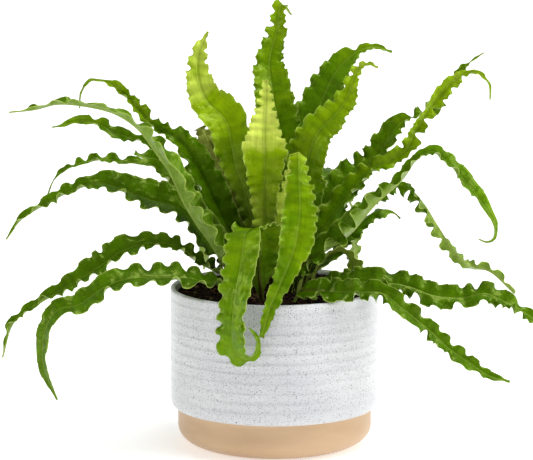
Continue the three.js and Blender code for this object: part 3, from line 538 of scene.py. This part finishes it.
leafFinish = {
    "tones": ((0.0, (0.034, 0.086, 0.0002)), (0.33, (0.098, 0.228, 0.0002)),
              (0.67, (0.280, 0.436, 0.0010)), (1.0, (0.760, 0.860, 0.1400))),
    "ribFlank": ((0.040, 0.095, 0.001), 0.3),
    "ribTop": ((0.230, 0.330, 0.040), 0.3),
    "under": ((0.240, 0.360, 0.060), 0.72),
    "ribUnder": ((0.290, 0.370, 0.090), 0.6),
    "ribFoot": ((0.060, 0.026, 0.010), 1.0),
    "rim": ((0.560, 0.700, 0.150), 0.65),
    "dry": ((0.150, 0.110, 0.025), 1.0),
    "through": ((0.330, 0.520, 0.004), 0.5),
    "throughShare": 0.25,
    # distances from the rib at which a line along it starts and is full
    "ribLine": (0.9, 0.35),
    "flankOutside": (2.2, 1.0),
    "flankInside": (0.4, 1.0),
    "keel": (1.5, 1.0),
    "brown": (1.7, 0.9),
    "brownAlong": (70.0, 16.0),  # distances from the foot
    "mottle": 70.0,  # waves in a metre
    "mottleTone": 0.22,
    "streak": (0.025, 0.9, 1.0),  # waves in a millimetre, along and across
    "streakTone": 0.06,
    "fold": (0.16, 0.05, 1.0),
    "foldShade": (0.78, 1.06),
    "veinPitch": 1.9,
    "veinLean": 0.55,
    "veinShade": 0.03,
    "soft": 80.0,
    "bands": (0.03, 0.16, 1.0),
    "heights": (5.0, 0.2, 1.8, 0.05),  # of soft, streak, bands and vein
    "bump": 0.6,
    "roughness": (0.22, 0.32),
    "specular": 0.55,
    "specularTint": (0.80, 1.0, 0.15, 1.0),
}


def leafMaterial():
    # Tone / 3, varied by two noises, picks the colour on a ramp; the tone holds painted light
    # and shade as well. Painted shade and light of soft folds vary it and veins lighten it
    # faintly, and layers draw the rib, the greyer lower face, the brown foot, a painted pale
    # edge highlight and dry parts.
    finish = leafFinish
    material, tree = newMaterial("fernLeaf")
    place = placeOf(tree)
    uv = addNode(tree, "UVMap", uv_map="UVMap").outputs[0]
    parts = addNode(tree, "SeparateXYZ", {0: uv})
    along, across = parts.outputs[0], parts.outputs[1]  # millimetres from the foot and the rib
    fromRib = maths(tree, "ABSOLUTE", across)
    toneAndPaintedLight, under, rim, dry = [attributeOf(tree, name) for name in ("toneAndPaintedLight", "under", "rim", "dry")]

    mottle = noiseOf(tree, place, finish["mottle"], detail=4.0)
    streak = noiseOf(tree, uv, finish["streak"])
    least, most = -finish["mottleTone"], finish["mottleTone"]
    varied = total(tree, toneAndPaintedLight, mapped(tree, mottle, 0.3, 0.7, least, most))
    least, most = -finish["streakTone"], finish["streakTone"]
    varied = total(tree, varied, mapped(tree, streak, 0.3, 0.7, least, most))
    colour = ramped(tree, maths(tree, "DIVIDE", varied, 3.0), finish["tones"])

    # Side veins lean towards the tip, one every veinPitch
    lean = times(tree, fromRib, -finish["veinLean"])
    turn = times(tree, total(tree, along, lean), fullTurn / finish["veinPitch"])
    vein = mapped(tree, maths(tree, "SINE", turn), -1.0, 1.0)
    # Painted shade and light of soft folds: a slow noise across the blade scales the colour
    fold = noiseOf(tree, uv, finish["fold"], detail=2.0)
    shade = total(tree, mapped(tree, fold, 0.35, 0.65, *finish["foldShade"]),
                  mapped(tree, vein, 0.5, 1.0, 0.0, finish["veinShade"]))
    shades = addNode(tree, "CombineXYZ", {0: shade, 1: shade, 2: shade}).outputs[0]
    colour = blended(tree, 1.0, colour, shades, "MULTIPLY")

    # The rib: a pale line with dark flanks above, a wide pale keel below, brown at the foot
    ribLine, outside, inside, keel, ribWide = [
        mapped(tree, fromRib, *finish[name])
        for name in ("ribLine", "flankOutside", "flankInside", "keel", "brown")]
    colour = layered(tree, times(tree, outside, inside), colour, finish["ribFlank"])
    colour = layered(tree, ribLine, colour, finish["ribTop"])
    below = layered(tree, 1.0, colour, finish["under"])
    below = layered(tree, keel, below, finish["ribUnder"])
    colour = blended(tree, under, colour, below)
    foot = mapped(tree, along, *finish["brownAlong"])
    colour = layered(tree, times(tree, foot, ribWide), colour, finish["ribFoot"])
    # Painted highlight: a pale line along the margins
    colour = layered(tree, rim, colour, finish["rim"])
    colour = layered(tree, dry, colour, finish["dry"])

    # Slow unevenness gives the soft broken highlights, the veins only a faint grain
    soft = noiseOf(tree, place, finish["soft"], detail=2.0, roughness=0.4)
    bands = noiseOf(tree, uv, finish["bands"], detail=2.0, roughness=0.4)
    heights = zip((soft, streak, bands, vein), finish["heights"])
    bump = bumpOf(tree, total(tree, *[times(tree, *pair) for pair in heights]), finish["bump"], 0.001)
    gloss = mapped(tree, mottle, 0.3, 0.7, *finish["roughness"])
    surface = coated(tree, colour, gloss, finish["specular"], others={
        "Specular Tint": finish["specularTint"], "Normal": bump})
    passed = layered(tree, 1.0, colour, finish["through"])
    through = addNode(tree, "BsdfTranslucent", {"Color": passed, "Normal": bump}).outputs[0]
    shown(tree, addNode(tree, "MixShader", {0: finish["throughShare"], 1: surface, 2: through}).outputs[0])
    return material


def midribOf(look, rng):
    # Stations at even steps from the foot in the soil through the collar and along the route;
    # at each one the tangent, and the carried side turned about it by the roll and the sway.
    ring, angle = look["foot"][0], math.radians(look["foot"][1])
    collar = np.array([ring * math.cos(angle), ring * math.sin(angle), soilTop])
    route = np.asarray(look["route"], float)
    end = collar - unit(route[0] - collar) * look["footDepth"]
    points, length = evenly(splinePoints(np.vstack([end, collar, route])), look["stationStep"])
    share = np.linspace(0, 1, len(points))[:, None]
    stem = (look["footDepth"] + look["stemAbove"]) / length
    low, high = look["wavesBegin"]
    blade = smooth(stem * low, stem * high, share)
    tangents = unit(np.gradient(points, axis=0))
    facing = math.radians(look["turn"])
    side = carriedSides(tangents, (-math.sin(facing), math.cos(facing), 0.0))
    sway = look["sway"] * wander(rng, length, look["drift"], share) * blade
    roll = np.radians(eased(look["roll"], share) + sway)
    side = side * np.cos(roll) + np.cross(tangents, side) * np.sin(roll)
    return points, length, share, stem, blade, tangents, side


def halfOf(look, rng, hand, keen, phase, length, share, half, deep, blade):
    # One side of the rib. Each vein runs from the rib to the margin and keeps its length: its
    # slope is the cup plus a swing, and its points are the running sum of the cosine and sine
    # of that slope. The swing is a wave along the margin, sin(phase), plus a slower one, full
    # at the margin, with a small ripple left near the rib; each wave is stronger or weaker at
    # random. Veins are longer at the crests and shorter at the troughs, the more so where the
    # blade is narrow, which makes lobes; small teeth ride on them, and crests swell along the
    # margin by -sin(2 * phase).
    inner = np.array(look["across"])[None, :]
    phase = phase + look["uneven"] * wander(rng, length, look["drift"], share)
    phase = phase + look["skew"] * wander(rng, length, look["drift"], share) * np.sin(phase)
    strength = 1 + look["strength"] * wander(rng, length, look["strengthDrift"], share)
    gap = ((1 - np.sin(phase + look["lobeLead"])) / 2) ** look["gapShape"]
    outward, inward = look["lobeReach"]
    vein = half * (1 + keen * deep * strength * (outward - (outward + inward) * gap))
    vein = vein + np.minimum(look["tooth"], look["toothMost"] * half) * blade * (phase / math.pi % 1)
    still = np.clip(1 - look["waved"] / np.maximum(half, 1), 0, look["stillMost"])
    ramp = np.clip((inner - still) / (1 - still), 0, 1)
    ahead = look["slant"] * (1 - inner)
    slower = rng.uniform(0, fullTurn) + look["slower"] * phase
    fast, slow = look["waveShares"]
    turned = fast * np.sin(phase + ahead) + slow * np.sin(slower + ahead)
    reach = ramp ** look["onset"] + look["ripple"] * inner ** 0.5
    swing = eased(look["swing"], share) * blade
    slope = np.radians(eased(look["cup"], share)) * blade + keen * swing * strength * reach * turned
    middle = (slope[:, 1:] + slope[:, :-1]) / 2
    step = vein * np.diff(inner)
    out, rise = [np.concatenate([0 * step[:, :1], np.cumsum(step * part(middle), axis=1)], axis=1)
                 for part in (np.cos, np.sin)]
    swell = smooth(*look["meanderWidth"], half) * ramp ** 2 * np.sin(2 * phase)
    return hand * out, rise, -keen * look["meander"] * blade * swell


def frondSurface(name, frond, rng):
    # A closed band carried along the midrib; a narrow stem opens into it. Its two margins have
    # phases of their own, half a turn apart at the foot, and can be waved unequally. The lower
    # face is the same surface, a thickness and a keel below, and the rib is a groove above.
    look = {**leafLook, **frond}
    points, length, share, stem, blade, tangents, side = midribOf(look, rng)
    up = np.cross(tangents, side)
    count = len(points)

    low, high = look["stemOpens"]
    opened = smooth(stem * low, stem * high, share)
    half = look["stemHalfWidth"] + (eased(look["wide"], share) / 2 - look["stemHalfWidth"]) * opened
    turns = fullTurn * np.cumsum(length / (count - 1) / eased(look["pitch"], share), axis=0)
    start = rng.uniform(0, fullTurn)
    deep = look["leastLobe"] + eased(look["lobe"], share) * smooth(*look["lobeWidth"], half)
    deep = deep * blade * smooth(*look["lobeEnd"], half)
    halves = []
    for hand, keen in zip((-1, 1), look["hands"]):
        phase = start + turns + fullTurn / 4 * hand
        halves.append(halfOf(look, rng, hand, keen, phase, length, share, half, deep, blade))
    sideways, lift, swell = [np.concatenate([a[:, :0:-1], b], axis=1) for a, b in zip(*halves)]
    inner = np.array(look["across"])
    spread = np.concatenate([inner[:0:-1], inner])[None, :]

    ribHalf = np.minimum(look["ribHalfWidth"], half * look["ribWidest"])
    fromRib = np.abs(sideways) / ribHalf
    ribDepth = look["ribDepth"] * (1 - look["ribTaper"] * share) * smooth(0, stem, share)
    keel = ribDepth * smooth(look["ribFlank"], 0.0, fromRib)
    thin = look["bladeThickness"] + (look["marginThickness"] - look["bladeThickness"]) * spread
    thickness = look["stemThickness"] + (thin - look["stemThickness"]) * blade
    groove = look["ribGroove"] * smooth(1.0, 0.0, fromRib) * blade * (1 - look["grooveTaper"] * share)

    def placed(rise):
        return (points[:, None] + side[:, None] * sideways[..., None] + up[:, None] * rise[..., None]
                + tangents[:, None] * swell[..., None])

    def roundBand(upper, lower):
        # The upper face from margin to margin, then the lower face back again.
        return np.concatenate([upper, lower[:, ::-1]], axis=1)

    band = roundBand(placed(lift - groove), placed(lift - thickness - keel))
    columns = band.shape[1]
    j = np.arange(spread.shape[1] - 1)
    firstCap = np.stack([j, columns - 1 - j, columns - 2 - j, j + 1], axis=1)
    lastCap = (count - 1) * columns + firstCap[:, ::-1]
    quads = np.concatenate([ringQuads(count, columns), firstCap, lastCap])[:, ::-1]
    piece = makeMesh(name + "_blade", band.reshape(-1, 3), quads)

    along = np.repeat(share * length, columns, axis=1)
    setUv(piece, np.stack([along, roundBand(sideways, sideways)], axis=2).reshape(-1, 2))
    setFloats(piece, "under", roundBand(0 * sideways, 0 * sideways + look["grey"]))
    # The rim attribute marks the painted pale edge highlight
    rim = smooth(look["edgeHighlightFrom"], 1.0, roundBand(spread, spread))
    setFloats(piece, "rim", np.repeat(rim, count, axis=0))
    # Tones along the frond, partly painted light and shade
    setFloats(piece, "toneAndPaintedLight", np.repeat(eased(look["toneAndPaintedLight"], share), columns, axis=1))
    setFloats(piece, "dry", np.repeat(eased(look["dry"], share), columns, axis=1))
    piece.data.set_sharp_from_angle(angle=math.radians(look["sharp"]))
    return piece


leaf = leafMaterial()
firstSeed = 100
for number, (name, frond) in enumerate(fronds.items()):
    blade = frondSurface(name, frond, np.random.default_rng(firstSeed + number))
    finishPiece(blade, [leaf], "leaf_" + frond["slot"], name)
print("fronds made:", len(fronds))


# Pot
potLook = {
    "height": 123.5,
    "glazeRadius": 80.2,
    "glazeBottom": 30.0,
    "glazeRounding": (5.0, 8.0),  # across and up
    "footRadius": 74.5,
    "footCorner": (24.0, 16.0),  # across and up
    "wallInside": 76.2,
    "wallInsideEnd": 37.0,
    "rimRounding": 2.0,
    "ridgeFirst": 37.6,
    "ridgePitch": 7.64,
    "ridgeDepth": 0.6,
    "ridgeBack": 0.3,  # share of the pitch in which the wall falls back above a crest
    "ridgeDrift": 0.1,  # how far a ridge wanders up and down, as a share of its pitch
    "ridgeFade": (4, 3),  # heights over which the ridges come in and go
    "inside": ((71.0, 30.0), (71.0, 18.0), (62.0, 9.0)),  # radius and height, down to the floor
    "floorTop": 9.0,
    "flatRadius": 30.0,
    "sides": 216,
    "sharp": 50,  # degrees above which an edge is drawn sharp
}

potFinish = {
    # per layer: specks' spacing and radius in millimetres, share kept, strength
    "specks": ((0.9, 0.38, 0.70, 0.9), (2.3, 0.6, 0.4, 1.0), (8.0, 0.9, 0.4, 1.0)),
    "speckColour": (0.07, 0.07, 0.09),
    "faintest": 0.25,  # of the strength
    "glaze": ((0.545, 0.555, 0.575), (0.610, 0.620, 0.630)),
    "cloudScale": (12.0, 12.0, 40.0),
    "lineScale": (14.0, 14.0, 900.0),
    "lines": ((0.44, 0.45, 0.47), 0.16),
    "pooledAndShaded": ((0.36, 0.37, 0.39), 0.36),
    "clay": ((0.460, 0.300, 0.165), (0.510, 0.345, 0.200)),
    "clayScale": (16.0, 16.0, 60.0),
    "grainScale": 900.0,
    "grain": ((0.38, 0.23, 0.12), 0.18),
}


def speckled(tree, place, spacing, radius, kept, strength):
    # Random points a spacing apart; a share of them shows as a round speck, each of its own strength.
    cells = addNode(tree, "TexVoronoi", {"Vector": place, "Scale": 1.0 / (spacing * metre),
                                         "Randomness": 1.0})
    own = addNode(tree, "SeparateXYZ", {0: cells.outputs["Color"]})
    edge = radius / spacing
    spot = mapped(tree, cells.outputs["Distance"], edge, edge * 0.5)
    chosen = maths(tree, "LESS_THAN", own.outputs[0], kept)
    varied = mapped(tree, own.outputs[1], 0.0, 1.0, potFinish["faintest"] * strength, strength)
    return times(tree, times(tree, spot, chosen), varied)


def potMaterials():
    # Glaze: clouds of two whites, fine level lines, grey in the grooves that is partly glaze pooled there
    # and partly painted shade, specks.
    # Clay: clouds of two tans with a darker grain.
    finish = potFinish
    glaze, tree = newMaterial("speckledGlaze")
    place = placeOf(tree)
    specks = [speckled(tree, place, *layer) for layer in finish["specks"]]
    lines = noiseOf(tree, place, finish["lineScale"], detail=3.0, roughness=0.6)
    cloud = noiseOf(tree, place, finish["cloudScale"], detail=2.0)
    colour = blended(tree, mapped(tree, cloud, 0.35, 0.65), *finish["glaze"])
    colour = layered(tree, mapped(tree, lines, 0.5, 0.75), colour, finish["lines"])
    # Grey in the grooves: partly pooled glaze, partly painted shade of the ridges
    colour = layered(tree, attributeOf(tree, "groove"), colour, finish["pooledAndShaded"])
    for speck in specks:
        colour = blended(tree, speck, colour, finish["speckColour"])
    bump = bumpOf(tree, lines, strength=0.6, distance=0.0005)
    shown(tree, coated(tree, colour, roughness=0.33, specular=0.3, others={"Normal": bump}))

    clay, tree = newMaterial("bareClay")
    place = placeOf(tree)
    grain = noiseOf(tree, place, finish["grainScale"], detail=3.0, roughness=0.6)
    cloud = noiseOf(tree, place, finish["clayScale"])
    colour = blended(tree, mapped(tree, cloud, 0.3, 0.7), *finish["clay"])
    colour = layered(tree, mapped(tree, grain, 0.55, 0.75), colour, finish["grain"])
    bump = bumpOf(tree, grain, strength=0.3, distance=0.0004)
    shown(tree, coated(tree, colour, roughness=0.5, specular=0.5, others={
        "Sheen Weight": 0.15, "Sheen Roughness": 0.4, "Normal": bump}))
    return glaze, clay


def arcOf(centreRadius, centreZ, across, upwards, start, stop, steps=14):
    # Stretch of an ellipse in the pot's outline, from one angle to another in degrees.
    angle = np.radians(np.linspace(start, stop, steps))
    return np.stack([centreRadius + across * np.cos(angle), centreZ + upwards * np.sin(angle)], axis=1)


def straight(radius, start, stop, steps):
    # Upright stretch of the outline, from one height to another.
    return np.stack([np.full(steps, radius), np.linspace(start, stop, steps)], axis=1)


def potSurface():
    # The outline, from the middle of the underside round to the middle of the floor, turned
    # about Z. The glazed wall falls back quickly above the crest of each ridge and comes out
    # again slowly up to the next, and the ridges wander a little up and down with the angle.
    # The groove attribute is that depth, from 0 to 1 and deepest at the front and back, and
    # darkens the glaze there: partly glaze that pools in the grooves, partly painted shade.
    look = potLook
    radius, foot, rim = look["glazeRadius"], look["footRadius"], look["rimRounding"]
    cornerAcross, cornerUp = look["footCorner"]
    roundAcross, roundUp = look["glazeRounding"]
    ridgeStart, ridgeEnd = look["glazeBottom"] + roundUp, look["height"] - rim
    flat, floor = look["flatRadius"], look["floorTop"]
    outline = [
        np.array([[0.0, 0.0], [flat, 0.0], [foot - cornerAcross - 2, 0.0]]),
        arcOf(foot - cornerAcross, cornerUp, cornerAcross, cornerUp, -90, 0),
        straight(foot, cornerUp + 1, look["glazeBottom"] - 0.6, 6),
        np.array([[foot + 0.4, look["glazeBottom"] - 0.2]]),
        arcOf(radius - roundAcross, ridgeStart, roundAcross, roundUp, -84, 0),
        straight(radius, ridgeStart, ridgeEnd, 190)[1:-1],
        arcOf(radius - rim, look["height"] - rim, rim, rim, 0, 180),
        straight(look["wallInside"], look["height"] - 2 * rim, look["wallInsideEnd"], 24),
        np.array([*look["inside"], (flat, floor), (0.0, floor)]),
    ]
    clayRows = sum(len(part) for part in outline[:3]) - 1
    outline = np.vstack(outline)
    sides = look["sides"]
    angle = np.linspace(0, fullTurn, sides, endpoint=False)[None, :]
    r, z = np.repeat(outline[:, :1], sides, axis=1), np.repeat(outline[:, 1:], sides, axis=1)
    drift = look["ridgeDrift"] * (0.6 * np.sin(angle + 0.7) + 0.4 * np.sin(2 * angle + 2.1))
    onWall = (r > radius - 0.01) & (z > ridgeStart) & (z < ridgeEnd)
    fadeIn, fadeOut = look["ridgeFade"]
    fade = np.minimum(smooth(ridgeStart, ridgeStart + fadeIn, z), smooth(ridgeEnd, ridgeEnd - fadeOut, z))
    above = ((z - look["ridgeFirst"]) / look["ridgePitch"] + drift * fade) % 1
    back = look["ridgeBack"]
    ridge = np.where(above < back, smooth(0, back, above), ((1 - above) / (1 - back)) ** 1.5)
    uneven = (0.75 + 0.25 * np.sin(z / 9.0 + 2.0 * np.sin(angle))) * (0.35 + 0.65 * np.sin(angle) ** 2)
    groove = onWall * ridge * uneven * fade
    rings = roundTheAxis(r - look["ridgeDepth"] * groove, angle, z)[1:-1]
    piece = makeTurned("pot_body", rings, 0.0, floor)
    setFloats(piece, "groove", np.append(groove[1:-1].ravel(), (0.0, 0.0)))
    quadCount = (len(rings) - 1) * sides
    indices = np.zeros(len(piece.data.polygons), np.int32)
    indices[:clayRows * sides] = 1
    indices[quadCount:quadCount + sides] = 1
    piece.data.polygons.foreach_set("material_index", indices)
    piece.data.set_sharp_from_angle(angle=math.radians(look["sharp"]))
    return piece


finishPiece(potSurface(), potMaterials(), "pot", "pot")
print("pot made")


# Soil
soilLook = {
    "mound": 1.6,
    "bank": 5.0,  # how much higher the soil lies against the wall at the back
    "roughness": 0.9,
    "gap": 0.3,  # between the soil and the pot
    "side": (80.0, 37.5),  # heights of the rings on the straight wall
    "floorRadius": 20.0,
    "rings": 80,
    "sectors": 270,
    "tones": ((0.0, (0.006, 0.003, 0.002)), (0.6, (0.020, 0.010, 0.006)),
              (0.9, (0.055, 0.026, 0.014)), (1.0, (0.120, 0.070, 0.035))),
    "fibre": (0.012, 0.006, 0.004),
}
chipLook = {
    "count": 1500,
    "size": (0.7, 2.6),
    "wallGap": 3.5,
    "sharp": 35,
    "seed": 11,
    "tones": ((0.0, (0.007, 0.003, 0.002)), (0.55, (0.026, 0.012, 0.007)),
              (0.85, (0.085, 0.040, 0.020)), (1.0, (0.260, 0.170, 0.080))),
    "fibre": ((0.010, 0.005, 0.003), 0.5),
}


def soilMaterial():
    # Crumbs that each pick a tone, with fibre between them.
    material, tree = newMaterial("barkAndPeat")
    place = placeOf(tree)
    crumbs = addNode(tree, "TexVoronoi", {"Vector": place, "Scale": 420.0})
    fibre = noiseOf(tree, place, 260.0, detail=5.0, roughness=0.65)
    pick = addNode(tree, "SeparateXYZ", {0: crumbs.outputs["Color"]}).outputs[0]
    colour = ramped(tree, pick, soilLook["tones"])
    colour = blended(tree, mapped(tree, fibre, 0.35, 0.65), colour, soilLook["fibre"])
    height = total(tree, times(tree, crumbs.outputs["Distance"], -0.8), fibre)
    bump = bumpOf(tree, height, strength=0.8, distance=0.001)
    shown(tree, coated(tree, colour, roughness=0.95, specular=0.08, others={"Normal": bump}))
    return material


def soilHeight(x, y):
    # A low mound, a bank along the back wall, and lumps of three sizes from products of sines.
    look = soilLook
    wall = potLook["wallInside"]
    distance = np.hypot(x, y) / wall
    mound = look["mound"] * (1 - np.clip(distance, 0, 1))
    bank = look["bank"] * smooth(0.72, 1.0, distance) * smooth(-0.1, 0.6, y / wall)
    lumps = np.sin(x / 7) * np.cos(y / 6) + np.sin((x + y) / 11)
    small = np.sin(x / 2.1 + 2 * np.sin(y / 3.3)) * np.cos(y / 1.8 + 1.5 * np.sin(x / 2.7))
    fine = np.sin(x / 0.9 + 3 * np.sin(y / 1.3)) * np.sin(y / 0.8 + 2 * np.sin(x / 1.1))
    lumps = smooth(1.0, 0.93, distance) * (0.7 * lumps + 0.5 * small + 0.28 * fine)
    return soilTop + mound + bank + look["roughness"] * lumps


def soilSurface():
    # A closed plug: the top is soilHeight on rings round the middle, the side and the bottom
    # follow the inside of the pot with a small gap.
    look = soilLook
    gap, bottom = look["gap"], potLook["floorTop"] + look["gap"]
    radius = potLook["wallInside"] - gap
    r = np.linspace(0, radius, look["rings"] + 1)[1:, None]
    angle = np.linspace(0, fullTurn, look["sectors"], endpoint=False)[None, :]
    top = roundTheAxis(r, angle, soilHeight(r * np.cos(angle), r * np.sin(angle)))
    outline = [(radius, z) for z in look["side"]]
    outline += [(across - gap, z + gap) for across, z in potLook["inside"]]
    outline = np.array([*outline, (look["floorRadius"], bottom)])
    below = roundTheAxis(outline[:, :1], angle, outline[:, 1:])
    middle = float(soilHeight(0.0, 0.0))
    return makeTurned("soil_plug", np.concatenate([top, below]), middle, bottom, downward=True)


def chipMaterial():
    # One tone for each chip, from its shade attribute, with darker fibre.
    material, tree = newMaterial("barkChips")
    place = placeOf(tree)
    fibre = noiseOf(tree, place, 500.0, detail=4.0, roughness=0.6)
    colour = ramped(tree, attributeOf(tree, "shade"), chipLook["tones"])
    colour = layered(tree, mapped(tree, fibre, 0.4, 0.7), colour, chipLook["fibre"])
    bump = bumpOf(tree, fibre, strength=0.6, distance=0.0005)
    shown(tree, coated(tree, colour, roughness=0.9, specular=0.12, others={"Normal": bump}))
    return material


def barkChips():
    # Each chip is a block of eight corners, moved at random, stretched, tilted, turned and laid
    # half sunk on the soil; all chips are one array of corners.
    look = chipLook
    rng = np.random.default_rng(look["seed"])
    count = look["count"]
    corners = np.array([[x, y, z] for z in (-1, 1) for y in (-1, 1) for x in (-1, 1)], float)
    faces = np.array([[0, 2, 3, 1], [4, 5, 7, 6], [0, 1, 5, 4], [2, 6, 7, 3], [0, 4, 6, 2], [1, 3, 7, 5]])
    shape = corners[None] * (1 + rng.uniform(-0.35, 0.35, (count, 8, 3)))
    size = rng.uniform(*look["size"], count) * rng.uniform(0.4, 1.0, count)
    stretch = [rng.uniform(low, high, count) for low, high in ((0.6, 1.3), (0.35, 0.8), (0.2, 0.5))]
    u, v, w = np.moveaxis(shape * (size * stretch).T[:, None], 2, 0)
    turn, tilt = rng.uniform(0, fullTurn, (count, 1)), rng.normal(0, 0.35, (count, 1))
    v, w = rotated(v, w, tilt)
    u, v = rotated(u, v, turn)
    distance = (potLook["wallInside"] - look["wallGap"]) * np.sqrt(rng.uniform(0.015, 1, count))
    angle = rng.uniform(0, fullTurn, count)
    x, y = distance * np.cos(angle), distance * np.sin(angle)
    middles = np.stack([x, y, soilHeight(x, y) + 0.1 * size], axis=1)
    points = np.stack([u, v, w], axis=2) + middles[:, None]
    quads = (faces[None] + 8 * np.arange(count)[:, None, None]).reshape(-1, 4)
    piece = makeMesh("bark_chips", points.reshape(-1, 3), quads)
    setFloats(piece, "shade", np.repeat(rng.uniform(0, 1, count) ** 1.6, 8))
    piece.data.set_sharp_from_angle(angle=math.radians(look["sharp"]))
    return piece


# Crown
crownLook = {
    "radius": 7.5,
    "top": 124.0,
    "bottom": 103.5,
    "cap": 6.0,  # height over which the top rounds in
    "capReach": 6.05,  # half height of the ellipse it follows
    "scales": 17,
    "scaleRow": 2.2,
    "relief": 0.5,
    "leastRadius": 0.15,
    "rows": 60,
    "sectors": 144,
    "fibre": ((0.030, 0.016, 0.008), (0.110, 0.065, 0.028)),
}


def crownMaterial():
    # Upright fibre in two browns.
    material, tree = newMaterial("crownScales")
    place = placeOf(tree)
    fibre = noiseOf(tree, place, (900.0, 900.0, 120.0), detail=4.0, roughness=0.6)
    colour = blended(tree, mapped(tree, fibre, 0.35, 0.65), *crownLook["fibre"])
    bump = bumpOf(tree, fibre, strength=0.8, distance=0.0008)
    shown(tree, coated(tree, colour, roughness=0.8, specular=0.3, others={"Normal": bump}))
    return material


def crownSurface():
    # A rounded knob: radius over height is a quarter ellipse at the top, and overlapping
    # scales raise it by a cosine of the angle whose phase shifts from row to row.
    look = crownLook
    bottom, top = look["bottom"], look["top"]
    z = np.linspace(bottom, top, look["rows"])[:, None]
    angle = np.linspace(0, fullTurn, look["sectors"], endpoint=False)[None, :]
    inCap = np.clip(z - (top - look["cap"]), 0, None)
    cap = np.sqrt(np.clip(1 - (inCap / look["capReach"]) ** 2, 0, 1))
    row = (z - bottom) / look["scaleRow"]
    step = row - np.floor(row)
    scale = np.abs(np.cos(0.5 * look["scales"] * angle + 0.5 * math.pi * np.floor(row)))
    r = look["radius"] * cap + look["relief"] * scale * (1 - step) * cap - look["relief"]
    return makeTurned("crown_knob", roundTheAxis(np.maximum(r, look["leastRadius"]), angle, z), bottom, top)


finishPiece(soilSurface(), [soilMaterial()], "soil", "soil")
finishPiece(barkChips(), [chipMaterial()], "soil")
finishPiece(crownSurface(), [crownMaterial()], "crown", "crown")
print("soil and crown made")


# Floor and lights
lightLook = {
    "world": 0.34,
    "floorColour": (0.93, 0.93, 0.93, 1.0),
    "floorGlow": 0.45,  # the floor is a light table, so that it hides shadows
    "floorSize": 30000.0,
    "white": (1.0, 1.0, 1.0, 1.0),
    "ceiling": {"from": (0.3, -0.06, 1.0), "strength": 2.4, "spread": 40},
    # places and sizes in metres
    "right": {"place": (2.4, -0.5, 0.9), "size": 1.6, "watts": 38.5, "colour": (1.0, 1.0, 0.98)},
    "left": {"place": (-2.4, -0.6, 0.7), "size": 1.0, "watts": 19, "colour": (1.0, 1.0, 0.98)},
    "aim": (0.0, 0.0, 0.15),
}


def makeFloor():
    # A wide pale square at the height of the pot's underside.
    material, tree = newMaterial("paleFloor")
    shown(tree, coated(tree, lightLook["floorColour"], roughness=0.9, specular=0.1, others={
        "Emission Color": lightLook["white"], "Emission Strength": lightLook["floorGlow"]}))
    half = lightLook["floorSize"] / 2
    corners = [[-half, -half, 0], [half, -half, 0], [half, half, 0], [-half, half, 0]]
    floor = makeMesh("studio_floor", corners, [[0, 1, 2, 3]])
    floor.data.materials.append(material)


def placeAimed(name, data, place, target):
    # A lamp or camera at a place, turned so that it looks at the target.
    holder = bpy.data.objects.new(name, data)
    holder.location = place
    direction = Vector(target) - holder.location
    holder.rotation_euler = direction.to_track_quat("-Z", "Y").to_euler()
    bpy.context.scene.collection.objects.link(holder)
    return holder


def makeLights():
    # A wide sun from the ceiling, a lamp on either side, and an even glow all round.
    world = bpy.data.worlds.new("studio")
    world.use_nodes = True
    background = world.node_tree.nodes["Background"]
    background.inputs["Color"].default_value = lightLook["white"]
    background.inputs["Strength"].default_value = lightLook["world"]
    bpy.context.scene.world = world
    ceiling = lightLook["ceiling"]
    lamp = bpy.data.lights.new("ceiling", "SUN")
    lamp.energy, lamp.angle = ceiling["strength"], math.radians(ceiling["spread"])
    placeAimed("ceiling_light", lamp, ceiling["from"], (0.0, 0.0, 0.0))
    for name in ("right", "left"):
        settings = lightLook[name]
        lamp = bpy.data.lights.new(name, "AREA")
        lamp.energy, lamp.size, lamp.color = settings["watts"], settings["size"], settings["colour"]
        placeAimed(name + "_light", lamp, settings["place"], lightLook["aim"])


# Camera: the photograph looks 10 degrees down on the plant from a few metres away
cameraLook = {
    "elevation": 10.0,
    "distance": 3000.0,
    "aim": (-6.28, 0.0, 166.97),
    "sensorWidth": 36.0,
    "lens": 264.5,
    "farthest": 100.0,  # metres
}


def makeCamera():
    # It stands at the distance from the aim, raised by the elevation.
    look = cameraLook
    tilt = math.radians(look["elevation"])
    aim = Vector(look["aim"]) * metre
    data = bpy.data.cameras.new("photo_view")
    data.sensor_width, data.lens, data.clip_end = look["sensorWidth"], look["lens"], look["farthest"]
    place = aim + Vector((0, -math.cos(tilt), math.sin(tilt))) * look["distance"] * metre
    bpy.context.scene.camera = placeAimed("photo_view", data, place, aim)


makeFloor()
makeLights()
makeCamera()
bpy.context.scene.view_settings.view_transform = "Standard"
print("stage made")
